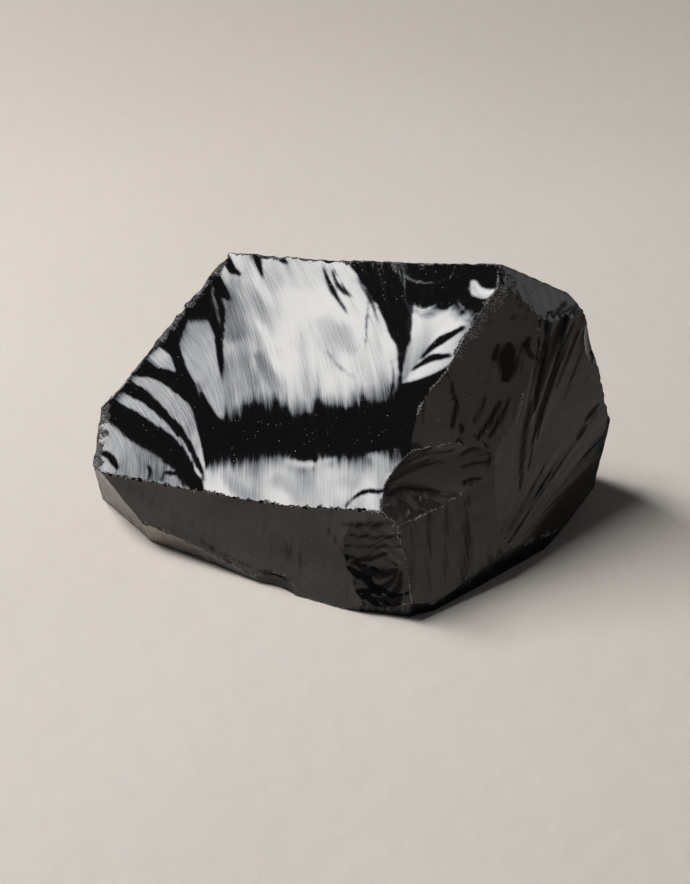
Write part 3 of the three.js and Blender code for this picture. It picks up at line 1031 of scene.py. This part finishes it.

# %% [markdown]
# ## Painted dark streaks and painted shade on the sides
#
# The sides see the pale floor and a dull wall, and every narrow strip that curls away
# from those sees the dark room and reads as a black streak. The strips are finer than
# the mesh, so they are painted in as dark reflections instead: each row below is a blade
# in millimetres on a face or on a scar, with its widths and how dark it is. Broad rows
# paint shade over the lower faces and undercuts, which look down at the floor in the
# stone's own shadow. Some faces also get a pale brown painted reflection of the floor.
# The finish reads the result as a number at each corner of the mesh and frays it along
# the ribs.

# %% Painted shade and painted dark reflections drawn on the faces and scars
# Painted dark reflections and painted shade: each row darkens the glass where it would mirror the dark
# room or the floor in the stone's shadow.
PAINTED_SHADE_STREAKS = {
    "near_shell": [
        ([(-9.9, 0.9), (-7.6, 3.3), (-4.2, 5.0), (1.1, 4.8)], [0.3, 0.9, 0.5, 0.1], 0.75),
        ([(-10.1, -0.9), (-6.9, 1.2), (-2.0, 2.5), (3.8, 2.6)], [0.4, 1.0, 0.6, 0.1], 0.65),
        ([(-10.2, -2.3), (-7.4, -0.6), (-3.1, 0.6), (1.7, 0.7)], [0.5, 1.0, 0.6, 0.1], 0.65),
        ([(-10.3, -3.4), (-6.8, -2.8), (-2.6, -3.6), (0.1, -4.6)], [0.8, 1.8, 1.2, 0.2], 0.8),
        ([(-9.1, 5.3), (-9.8, 2.3), (-10.2, -2.7)], [0.3, 1.2, 1.2], 0.95),
        ([(-9.6, 2.2), (-6.4, 4.3), (-2.8, 5.9)], [0.2, 0.5, 0.1], 0.8),
        ([(-9.9, 0.1), (-6.0, 2.4), (-0.6, 3.7)], [0.2, 0.4, 0.1], 0.7),
        ([(-10.0, -1.6), (-6.6, 0.2), (-1.0, 1.6)], [0.2, 0.5, 0.1], 0.7),
        ([(4.5, 3.7), (6.9, 4.7), (10.4, 5.1)], [0.2, 1.2, 0.9], 0.95),
        ([(4.7, 1.5), (7.2, 2.3), (10.3, 2.2)], [0.2, 0.7, 0.6], 0.8),
        ([(4.8, -0.9), (7.2, -0.3), (9.9, -0.7)], [0.2, 0.5, 0.5], 0.7),
        ([(4.4, -3.4), (6.8, -3.1), (9.4, -3.7)], [0.2, 0.6, 0.5], 0.8),
        ([(10.3, 5.7), (10.2, 0.8), (9.2, -6.6)], [0.3, 0.8, 0.6], 0.8),
    ],
    "brown_flake": [
        ([(3.9, 8.5), (3.0, 3.9), (1.8, -2.0)], [0.2, 1.6, 0.3], 0.9),
        ([(-4.8, 1.1), (-5.0, -1.0)], [0.6, 0.8], 0.5),
        ([(-3.1, 3.8), (-3.6, -1.5)], [0.1, 0.5, 0.1], 0.4),
    ],
    "crown_flake": [
        ([(2.6, 8.6), (3.1, 6.4), (3.6, 3.6), (3.4, 1.6)], [1.0, 5.6, 4.6, 1.4], 1.3),
        ([(6.1, 10.5), (4.7, 7.2)], [0.8, 2.6], 0.8),
        ([(0.7, 8.0), (0.5, 4.8)], [0.6, 2.2], 0.8),
        ([(3.5, -2), (2.2, -6), (0.2, -10)], [0.4, 1.2, 0.6], 0.8),
        ([(5.2, -1), (4.2, -5), (2.6, -9)], [0.3, 1.0, 0.4], 0.75),
        ([(0.6, -2), (-0.6, -7)], [0.3, 1.4], 0.6),
    ],
    "right_shoulder": [
        ([(22.3, 29.7), (20.9, 25.4), (20.0, 20.8)], [0.4, 1.4, 0.3], 0.9),
        ([(27.1, 33.3), (24.4, 26.2), (22.8, 17.9)], [0.2, 1.7, 0.4], 1.0),
        ([(31.1, 33.2), (27.7, 25.1), (25.5, 17.4)], [0.2, 1.6, 0.3], 1.0),
        ([(34.0, 34.0), (30.0, 26.3), (26.7, 18.5)], [0.3, 1.6, 0.2], 0.95),
        ([(37.6, 42.9), (37.0, 38.9), (35.3, 34.1), (33.2, 29.0)], [1.6, 3.6, 2.4, 0.4], 1.1),
        ([(36.0, 45.5), (35.3, 39.9), (34.3, 35.1)], [0.6, 1.4, 0.4], 0.9),
    ],
    "right_far": [
        ([(46.0, 41.0), (41.4, 37.4), (37.3, 32.2), (34.5, 27.0)], [2.4, 4.2, 2.4, 0.4], 1.1),
        ([(47.9, 39.5), (43.1, 35.4), (38.8, 30.5), (35.8, 26.8)], [0.3, 1.5, 1.0, 0.1], 0.9),
        ([(48.8, 37.5), (44.6, 33.2), (40.7, 29.2)], [0.2, 1.1, 0.1], 0.8),
        ([(50.0, 35.0), (46.0, 30.5), (42.0, 26.0)], [0.2, 0.9, 0.1], 0.7),
        ([(42.8, 33.9), (39.3, 30.3), (36.6, 26.5), (34.1, 21.5)], [0.2, 1.4, 0.8, 0.1], 0.85),
        ([(44.9, 36.0), (39.8, 31.1), (34.9, 25.1), (30.9, 16.8)], [0.5, 1.0, 0.8, 0.1], 0.75),
        ([(51.2, 21.5), (49.1, 20.6), (46.9, 19.8)], [0.3, 1.8, 0.3], 1.1),
        ([(47.3, 19.1), (46.0, 18.2), (44.1, 17.1)], [0.2, 1.1, 0.1], 0.8),
        ([(34.1, 29.5), (30.9, 22.8), (27.9, 14.0)], [0.8, 2.2, 0.6], 0.8),
        ([(53.9, 19.2), (53.1, 15.4), (50.7, 11.1)], [1.0, 2.6, 1.0], 0.8),
        # broad painted shade: the floor in the stone's shadow, seen in the lower glass
        ([(57, 14), (47, 7), (37, 4), (26, 0)], [9, 12, 12, 8], 1.35),
    ],
    # broad painted shade on the faces that look down at the shadowed floor
    "right_foot": [([(-6, 2), (20, 2), (50, 3)], [12, 12, 12], 0.8)],
    "corner_foot_right": [([(-3, 2), (9, 2)], [9, 9], 0.7)],
    "left_undercut": [([(-70, 8), (70, 8)], [50, 50], 0.5)],
    "corner_foot_left": [([(-20, 2), (2, 2)], [6, 8], 0.6)],
    "crown": [
        ([(38.8, 39.5), (37.9, 34.0), (37.0, 28.2)], [0.2, 0.6, 0.2], 0.8),
        ([(40.6, 39.6), (40.1, 35.0), (39.5, 31.0)], [0.1, 0.4, 0.1], 0.5),
        ([(37.4, 40.6), (36.4, 35.8), (36.4, 30.6)], [0.8, 2.2, 0.8], 0.9),
        ([(48.2, 32.6), (44.2, 31.7), (38.7, 28.0)], [0.6, 1.4, 0.9], 0.95),
        ([(51.4, 31.0), (46.0, 30.4), (42.0, 29.0)], [1.0, 2.4, 1.0], 0.9),
        ([(36.2, 43.2), (35.3, 39.0), (34.3, 35.8)], [1.0, 2.4, 1.0], 0.9),
    ],
    "right": [
        ([(7.6, 20.4), (5.7, 11.8), (3.8, 2.6)], [0.5, 1.4, 0.6], 0.45),
        ([(11.2, 19.5), (9.6, 12.2), (8.0, 4.9)], [0.5, 1.0, 0.4], 0.35),
        ([(15.4, 18.6), (13.8, 10.0), (11.4, 1.9)], [1.0, 3.0, 2.0], 0.5),
        ([(3.5, 18.5), (1.9, 11.3), (-0.1, 3.2)], [0.4, 1.4, 0.7], 0.45),
        # broad painted shade: the shadowed floor seen in the lower glass
        ([(25, 4), (14, 0), (2, -3)], [9, 7, 5], 1.2),
    ],
    "front": [
        ([(-10.2, 9.2), (-6.5, 7.5), (-2.4, 9.1)], [0.6, 2.2, 1.4], 1.1),
        ([(-7.8, 5.5), (-5.0, 5.0), (-2.9, 6.8), (-2.1, 9.6)], [0.4, 1.2, 1.2, 0.3], 1.0),
        ([(-5.6, 3.0), (-3.1, 3.2), (-1.5, 6.2), (-1.3, 9.5)], [0.6, 1.7, 1.3, 0.3], 1.1),
        ([(-11.7, 10.0), (-8.3, 9.8), (-4.3, 12.2)], [0.2, 0.9, 0.3], 0.9),
        ([(-4.3, 1.4), (-2.0, 2.3), (-0.6, 4.9)], [0.4, 1.4, 0.6], 1.0),
        ([(-13.3, 15.9), (-8.5, 16.8), (-2.8, 19.2)], [0.4, 1.4, 0.5], 0.7),
        ([(-12.1, 14.1), (-7.3, 14.6), (-1.7, 16.6)], [0.2, 0.8, 0.3], 0.6),
        ([(-12.3, 11.8), (-7.1, 12.7), (-1.1, 14.6)], [0.2, 0.7, 0.3], 0.6),
        ([(-15.9, 14.6), (-12.5, 10.8), (-8.3, 6.2), (-4.0, 1.1)], [0.2, 0.4, 0.4, 0.3], 0.5),
        ([(-28.3, 2.2), (-25.3, 2.4), (-22.4, 1.3)], [0.3, 1.1, 0.3], 0.7),
        ([(-40.5, 5.0), (-35.2, 3.2), (-30.0, 2.7)], [0.3, 1.2, 0.3], 0.5),
        ([(-30, 12.5), (-24, 8.5), (-17, 5.5)], [1, 4, 1], 0.25),
        ([(-56, 11.5), (-48, 9), (-42, 8)], [1, 2.6, 1], 0.25),
    ],
}
# Painted reflection: how much pale brown goes into the base colour of each face, standing in for the
# floor seen in the glass
PAINTED_REFLECTION_SHARES = {"front_undercut": 0.8, "left_undercut": 0.6, "front": 0.1, "right": 0.06,
             "right_shoulder": 0.05, "right_far": 0.05, "brown_flake": 0.06, "crown_flake": 0.06,
             "near_shell": 0.1}
PALE_END = {"front_undercut": (-54, -34)}  # mm across, over which the painted reflection thins out
FANS = {"right_far": (14, 2), "right_shoulder": (20, -30), "crown": (39, 60), "near_shell": (-12, -2)}
FAN_REACH = 30.0  # mm from the middle of a fan to where its ribs keep their true spacing
DRAWN_ON = {"corner_hackle": "front", "corner_shell": "front", "foot_notch": "front",
            "right_rim": "right_far"}


def painted_shade_at(name, x, y):
    """How dark the painted shade and painted dark reflections make each place on a face or scar: 1 is
    all but black.
    """
    dark = np.zeros(len(x))
    for line, widths, value in PAINTED_SHADE_STREAKS.get(name, []):
        share, sideways = along(x, y, line)
        half = np.interp(share, np.linspace(0, 1, len(widths)), widths) / 2
        strip = value * (1 - ease(0, 1.2 * half + 0.5, np.abs(sideways)))
        ends = ease(-0.06, 0.04, share) * (1 - ease(0.96, 1.06, share))
        dark = np.maximum(dark, strip * ends)
    return dark


# %% Flow coordinates, painted shade and painted reflection at every corner
polygon_tags = numbers_of(stone_mesh.attributes["cut_by"].data, "value", kind=np.int32)
loop_totals = numbers_of(stone_mesh.polygons, "loop_total", kind=np.int32)
loop_tags = np.repeat(polygon_tags, loop_totals)
loop_points = numbers_of(stone_mesh.loops, "vertex_index", kind=np.int32)
flow = np.zeros((len(stone_mesh.loops), 3))
dark = np.zeros(len(stone_mesh.loops))
pale = np.zeros(len(stone_mesh.loops))
for tag, name in enumerate(cutter_names):
    chosen = loop_tags == tag
    places = where[loop_points[chosen]]
    if not len(places):
        continue
    if name in faces:
        local = faces[name].local(places)
    elif name in scars:
        local = scars[name][0].local(places)
    else:
        local = places
    drawn_on = DRAWN_ON.get(name, name)
    # painted shade and painted dark reflections from the drawn rows
    if drawn_on in PAINTED_SHADE_STREAKS:
        x, y, _ = (local if drawn_on == name else faces[drawn_on].local(places)).T
        dark[chosen] = painted_shade_at(drawn_on, x, y)
    uneven = 1 + 0.8 * noise(local[:, 0] * 0.07, local[:, 1] * 0.16, 71)
    # painted reflection: a pale brown tone where the floor would be seen in the glass
    pale[chosen] = PAINTED_REFLECTION_SHARES.get(name, 0) * uneven
    if name in PALE_END:
        pale[chosen] *= 1 - 0.9 * ease(*PALE_END[name], local[:, 0])
    if name in FANS:
        from_x, from_y = local[:, 0] - FANS[name][0], local[:, 1] - FANS[name][1]
        local[:, 0] = np.arctan2(from_y, from_x) * FAN_REACH
        local[:, 1] = np.hypot(from_x, from_y)
    if name == "top":
        dark[chosen] = -1
        local[:, 0] = rib_of(local[:, 0], local[:, 1])
    flow[chosen] = np.stack([local[:, 0], local[:, 1], np.full(len(local), tag)], 1)
store("flow", flow)
store("dark", dark)
store("pale", pale)
print("corners on the top face:", (loop_tags == cutter_names.index("top")).mean().round(3))
print("corners in dark streaks:", (dark > 0.5).mean().round(3))

# %% [markdown]
# ## Shader sums written as sums
#
# A finish is a small program of nodes. Written one node at a time it is hard to read,
# so this class wraps a socket and lets `+`, `-` and `*` add the Math nodes. Any other
# node comes from one method that takes its type, its settings and its inputs.


# %% The shader helper
class Wire:
    """A value running through a material's nodes."""

    def __init__(self, bench, socket):
        self.bench = bench
        self.socket = socket

    def _math(self, operation, first, second):
        return self.bench.node("ShaderNodeMath", {"operation": operation}, {0: first, 1: second})

    def __add__(self, other):
        return self._math("ADD", self, other)

    __radd__ = __add__

    def __sub__(self, other):
        return self._math("SUBTRACT", self, other)

    def __rsub__(self, other):
        return self._math("SUBTRACT", other, self)

    def __mul__(self, other):
        return self._math("MULTIPLY", self, other)

    __rmul__ = __mul__


class Bench:
    """Makes one material's nodes."""

    def __init__(self, name):
        self.material = bpy.data.materials.new(name)
        self.material.use_nodes = True
        self.tree = self.material.node_tree
        self.tree.nodes.clear()

    def node(self, kind, settings=None, inputs=None, output=0):
        made = self.tree.nodes.new(kind)
        for key, value in (settings or {}).items():
            setattr(made, key, value)
        for key, value in (inputs or {}).items():
            if isinstance(value, Wire):
                self.tree.links.new(value.socket, made.inputs[key])
            else:
                made.inputs[key].default_value = value
        return Wire(self, made.outputs[output]) if len(made.outputs) else None

    def rise(self, value, low, high):
        """0 below low, 1 above high, smooth between."""
        return self.node(
            "ShaderNodeMapRange",
            {"interpolation_type": "SMOOTHSTEP"},
            {"Value": value, "From Min": low, "From Max": high},
        )

    def scaled(self, vector, by):
        return self.node("ShaderNodeVectorMath", {"operation": "MULTIPLY"}, {0: vector, 1: by})

    def grain(self, vector, scale, detail):
        """Uneven noise between 0 and 1, finer with more detail."""
        inputs = {"Vector": vector, "Scale": scale, "Detail": detail}
        return self.node("ShaderNodeTexNoise", {"noise_dimensions": "3D"}, inputs)

    def mix(self, share, first, second):
        """A blend of two colours: their sockets come after those for plain numbers."""
        settings = {"data_type": "RGBA"}
        return self.node("ShaderNodeMix", settings, {0: share, 6: first, 7: second}, 2)

    def dots(self, vector, scale, inner, outer):
        """Round specks, one for each cell, solid inside one radius and gone at another."""
        inputs = {"Vector": vector, "Scale": scale}
        away = self.node("ShaderNodeTexVoronoi", {"feature": "F1"}, inputs, "Distance")
        return 1 - self.rise(away, inner, outer)

    def bump(self, height, distance, under=None):
        """A normal tilted by a height in metres, over another bump if there is one."""
        inputs = {"Strength": 1.0, "Distance": distance, "Height": height}
        if under is not None:
            inputs["Normal"] = under
        return self.node("ShaderNodeBump", {}, inputs)

    def stored(self, name, output="Fac"):
        """A number or a vector kept on the mesh."""
        return self.node("ShaderNodeAttribute", {"attribute_name": name}, output=output)

    def output(self, surface):
        self.node("ShaderNodeOutputMaterial", {}, {"Surface": surface})


# %% [markdown]
# ## Volcanic glass
#
# Fresh obsidian is close to black with a polish that no tool could better. What keeps
# it from looking like plastic is small: fine ribs and ripples that follow the crack,
# rims crushed to grey powder, and dust. Besides these, dark streaks are painted in where
# the glass would mirror the dark room or the shadowed floor, and a pale brown is painted
# in where it would mirror the floor: painted shade and painted reflection. All of it
# is procedural. The ribs use the flow coordinates stored on the mesh, so they turn
# with the fracture, and the crushed rims use the stored distance from an edge.

# %% Colours and depths of the finish
BLACK_GLASS = (0.004, 0.004, 0.0045, 1)
# pale brown of the painted reflection of the floor
PAINTED_FLOOR_TONE = (0.3, 0.255, 0.22, 1)
POWDER_DARK, POWDER_LIGHT = (0.02, 0.02, 0.02, 1), (0.28, 0.27, 0.26, 1)
DUST = (0.3, 0.29, 0.28, 1)
# near-black of the painted shade and painted dark reflections
PAINTED_SHADE_BLACK = (0.003, 0.003, 0.003, 1)
GLASS_IOR = 1.5
SHADED_IOR = 1.12  # low, so the painted shade sends little light back
RIB_BUMP, POWDER_BUMP = 0.000006, 0.00025  # m
# Swells of noise for each mm across and along the ribs. The last number keeps faces apart.
RIBS, THREADS = (2.6, 0.16, 1), (7.0, 0.35, 1)
DARK_RIBS, DARK_THREADS = (1.2, 0.08, 1), (3.4, 0.2, 1)
CRUSH_EDGE = (1.86, 2.2)  # wear plus noise at which a rim starts to be, and is, powder
FRAY_EDGE = (1.22, 2.15)  # drawn dark plus noise at which a streak starts, and is full

# %% Glass, crushed rims and dust
glass = Bench("obsidian_glass")
flow_place = glass.stored("flow", "Vector")
worn_share = glass.stored("worn")
pale_share = glass.stored("pale")
dark_share = glass.stored("dark")
object_place = glass.node("ShaderNodeTexCoord", output="Object")
millimetres = glass.scaled(object_place, (1000, 1000, 1000))

rib_grain = glass.grain(glass.scaled(flow_place, RIBS), 1.0, 4)
thread_grain = glass.grain(glass.scaled(flow_place, THREADS), 1.0, 3)
powder_grain = glass.grain(millimetres, 3.6, 4)
patch_grain = glass.grain(millimetres, 0.35, 3)

crushed = glass.rise(worn_share + powder_grain * 1.1 + patch_grain * 1.2, *CRUSH_EDGE)
specks = glass.dots(millimetres, 0.42, 0.03, 0.06)
specks = specks * glass.rise(glass.grain(millimetres, 0.9, 1), 0.5, 0.6)
dust = glass.dots(millimetres, 1.15, 0.06, 0.13) * glass.rise(patch_grain, 0.47, 0.6)
specks = specks + dust * 0.6

streaks = glass.rise(rib_grain, 0.45, 0.75)
roughness = 0.035 + streaks * 0.05 + crushed * 0.4 + specks * 0.5 + pale_share * 0.3
crumbs = glass.rise(powder_grain, 0.46, 0.62)
powder_colour = glass.mix(crumbs, POWDER_DARK, POWDER_LIGHT)
# painted reflection: pale brown mixed into the black glass where the floor would be seen in it
colour = glass.mix(pale_share, BLACK_GLASS, PAINTED_FLOOR_TONE)
colour = glass.mix(crushed, colour, powder_colour)
colour = glass.mix(specks * 0.8, colour, DUST)

ribs_bump = glass.bump(rib_grain + thread_grain * 0.3, RIB_BUMP)
powder_bump = glass.bump(powder_grain * crushed, POWDER_BUMP, ribs_bump)
surface = glass.node(
    "ShaderNodeBsdfPrincipled",
    {},
    {"Base Color": colour, "Roughness": roughness, "IOR": GLASS_IOR, "Normal": powder_bump},
)
dark_ribs = glass.grain(glass.scaled(flow_place, DARK_RIBS), 1.0, 4)
dark_threads = glass.grain(glass.scaled(flow_place, DARK_THREADS), 1.0, 3)
# Painted shade and painted dark reflections: a dull near-black glass is mixed in where the drawn
# streaks are, frayed along the ribs
frayed = glass.rise(dark_share + dark_ribs * 1.5 + dark_threads * 0.9, *FRAY_EDGE) * 0.88
painted_shade_glass = glass.node(
    "ShaderNodeBsdfPrincipled",
    {},
    {"Base Color": PAINTED_SHADE_BLACK, "Roughness": 0.3, "IOR": SHADED_IOR},
)
glass.output(glass.node("ShaderNodeMixShader", {}, {0: frayed, 1: surface, 2: painted_shade_glass}))
stone_mesh.materials.clear()
stone_mesh.materials.append(glass.material)
stone_mesh.polygons.foreach_set("material_index", np.zeros(len(stone_mesh.polygons), np.int32))

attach(stone, "root")
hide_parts(NODE)
print("materials:", [m.name for m in stone_mesh.materials])

# %% [markdown]
# ## The table it stands on
#
# The floor is a plain pale slab with a little mottling. It is not part of the object.
# It matters all the same, because the side faces of the stone are mirrors that look
# down at it: their brown grey is the floor, seen in black glass.

# %% Floor
FLOOR_REACH = 3.0  # m from the stone to each side
FLOOR_TONES = (0.615, 0.562, 0.512, 1), (0.735, 0.68, 0.63, 1)
FAR_TONE = (0.54, 0.49, 0.446, 1)  # the light falls off behind the stone
FAR_FADE = (0.07, 0.27)  # m behind the middle of the stone
MOTTLE_SCALE, GRIT_SCALE = 9.0, 160.0  # swells for each metre
GRIT_BUMP = 0.0003  # m
SQUARE = ((-1, -1), (1, -1), (1, 1), (-1, 1))


def stage_object(name, places, polygons, bench):
    """A mesh that lights or carries the stone, with its material."""
    mesh = bpy.data.meshes.new(name)
    mesh.from_pydata(places, [], polygons)
    mesh.materials.append(bench.material)
    made = bpy.data.objects.new(name, mesh)
    bpy.context.scene.collection.objects.link(made)
    return made


slab = Bench("pale_slab")
slab_place = slab.node("ShaderNodeTexCoord", output="Object")
slab_colour = slab.mix(slab.grain(slab_place, MOTTLE_SCALE, 4), *FLOOR_TONES)
slab_back = slab.rise(slab.node("ShaderNodeSeparateXYZ", {}, {0: slab_place}, "Y"), *FAR_FADE)
slab_colour = slab.mix(slab_back, slab_colour, FAR_TONE)
slab_bump = slab.bump(slab.grain(slab_place, GRIT_SCALE, 4), GRIT_BUMP)
slab_inputs = {"Base Color": slab_colour, "Roughness": 0.75, "Normal": slab_bump}
slab.output(slab.node("ShaderNodeBsdfPrincipled", {}, slab_inputs))
floor_corners = [(FLOOR_REACH * i, FLOOR_REACH * j, 0) for i, j in SQUARE]
floor = stage_object("floor", floor_corners, [(0, 1, 2, 3)], slab)
print("floor:", 2 * FLOOR_REACH, "m square")

# %% [markdown]
# ## One softbox in a dark room
#
# Black glass is lit by what it reflects. One large softbox stands behind the stone to
# the left, and the top face catches it. It is a mesh with a glow that fades towards its
# edges, as a real softbox does, because that fade is what turns every small change of
# tilt into a soft grey. The room itself stays almost dark, so whatever leans away from
# the lamp goes black.

# %% Where the softbox hangs
LAMP_AIM = (-18.05, 26.98, 28.0)  # mm from the setting-out point, on the top face
LAMP_AZIMUTH = 158.7
LAMP_ELEVATION = 55.0
LAMP_DISTANCE = 0.9  # m from where it aims
LAMP_SIZE = (0.4, 0.68)  # m
LAMP_ROLL = -33.0  # degrees
LAMP_GLOW = 17.5
LAMP_EDGE, LAMP_MIDDLE = (0.86, 0.92, 1.0, 1), (1.0, 0.985, 0.96, 1)
LAMP_FADE = (0.5, 0.2)  # of half the width and height, from each edge inwards
LAMP_CORNERS = ((-1, -1), (-1, 1), (1, 1), (1, -1))  # in the order that faces the stone

towards_lamp = facing(LAMP_AZIMUTH, LAMP_ELEVATION)
level_side = unit(np.cross([0, 0, 1], towards_lamp))
upright = np.cross(towards_lamp, level_side)
roll = math.radians(LAMP_ROLL)
lamp_across = level_side * math.cos(roll) + upright * math.sin(roll)
lamp_up = upright * math.cos(roll) - level_side * math.sin(roll)

# %% Softbox
glow = Bench("softbox_glow")
glow_place = glow.node("ShaderNodeUVMap", {"uv_map": "across_and_up"})


def from_edge(axis):
    """How far in a place is from the nearer edge: 1 in the middle."""
    off_middle = glow.node("ShaderNodeSeparateXYZ", {}, {0: glow_place}, axis)
    return 1 - glow.node("ShaderNodeMath", {"operation": "ABSOLUTE"}, {0: off_middle})


fade = glow.rise(from_edge("X"), 0.0, LAMP_FADE[0]) * glow.rise(from_edge("Y"), 0.0, LAMP_FADE[1])
glow_colour = glow.mix(fade, LAMP_EDGE, LAMP_MIDDLE)
front_only = 1 - glow.node("ShaderNodeNewGeometry", output="Backfacing")
glow_inputs = {"Color": glow_colour, "Strength": fade * front_only * LAMP_GLOW}
glow.output(glow.node("ShaderNodeEmission", {}, glow_inputs))

lamp_corners = [
    Vector(lamp_across * LAMP_SIZE[0] / 2 * i + lamp_up * LAMP_SIZE[1] / 2 * j)
    for i, j in LAMP_CORNERS
]
softbox = stage_object("softbox", lamp_corners, [(0, 1, 2, 3)], glow)
softbox.location = (setting_out + np.array(LAMP_AIM)) * MM + towards_lamp * LAMP_DISTANCE
lamp_uv = softbox.data.uv_layers.new(name="across_and_up")
lamp_uv.data.foreach_set("uv", np.ravel(LAMP_CORNERS).astype(np.float32))
print("softbox hangs at, mm:", [round(c / MM) for c in softbox.location])

# %% [markdown]
# ## Dull walls on the near side
#
# The facets on the right look outwards and up, past the lamp. Two dull curved walls
# stand on that side for them to reflect, a warm one in front and a cool one to the
# right. Without them those facets would be pure black and their shape would be lost.
# They are seen only in reflections: they light neither the floor nor any dull surface,
# so the stone's shadow stays dark.


# %% Walls
WALL_DISTANCE = 2.2  # m
WALL_STEPS = (12, 6)  # polygons round and up


def curved_wall(name, azimuths, elevations, colour, strength):
    """A wall round the stone between two azimuths and two elevations."""
    columns = np.linspace(*azimuths, WALL_STEPS[0] + 1)
    rows = np.linspace(*elevations, WALL_STEPS[1] + 1)
    places = [Vector(facing(a, e) * WALL_DISTANCE) for e in rows for a in columns]
    wide = len(columns)
    starts = [i * wide + j for i in range(WALL_STEPS[1]) for j in range(WALL_STEPS[0])]
    polygons = [(i, i + 1, i + 1 + wide, i + wide) for i in starts]
    paint = Bench(name)
    paint.output(paint.node("ShaderNodeEmission", {}, {"Color": colour, "Strength": strength}))
    made = stage_object(name, places, polygons, paint)
    made.visible_diffuse = False
    print(f"{name}: {len(polygons)} polygons, glow {strength}")


curved_wall("warm_wall", (290, 340), (0, 78), (1.0, 0.85, 0.76, 1), 0.45)
curved_wall("cool_wall", (348, 384), (6, 44), (1.0, 0.99, 0.98, 1), 1.0)

# %% Dim room
ROOM_TONE, ROOM_STRENGTH = (0.9, 0.95, 1.0, 1), 0.05
world = bpy.data.worlds.new("dark_room")
world.use_nodes = True
room = world.node_tree.nodes["Background"].inputs
room["Color"].default_value = ROOM_TONE
room["Strength"].default_value = ROOM_STRENGTH
bpy.context.scene.world = world
bpy.context.scene.view_settings.view_transform = "Standard"

# %% [markdown]
# ## The camera
#
# A long lens from about 40 cm away, looking down at 35 degrees, shows the top face
# and two sides at once. It looks along +Y, and its distance fills the frame as a
# small still life would.

# %% Camera
CAMERA_ELEVATION = 35.0
CAMERA_DISTANCE = 0.385  # m
CAMERA_LENS = 85.0  # mm
CAMERA_AIM = (-10.85, 26.18, 20.0)  # mm from the setting-out point
camera_aim = Vector(((setting_out + np.array(CAMERA_AIM)) * MM).tolist())
camera_data = bpy.data.cameras.new("camera")
camera_data.lens = CAMERA_LENS
camera_data.sensor_width = 36.0
camera_data.clip_start = 0.01
camera = bpy.data.objects.new("camera", camera_data)
tilt_down = math.radians(CAMERA_ELEVATION)
back_off = Vector((0, -math.cos(tilt_down), math.sin(tilt_down)))
camera.location = camera_aim + back_off * CAMERA_DISTANCE
camera.rotation_euler = (math.pi / 2 - tilt_down, 0, 0)
bpy.context.scene.collection.objects.link(camera)
bpy.context.scene.camera = camera
print("camera aims at, mm:", [round(c / MM, 2) for c in camera_aim])

# %% [markdown]
# ## Finish
#
# The view layer is brought up to date. The visual stone must fill the same box as the
# CAD one.

# %% Finish
bpy.context.view_layer.update()
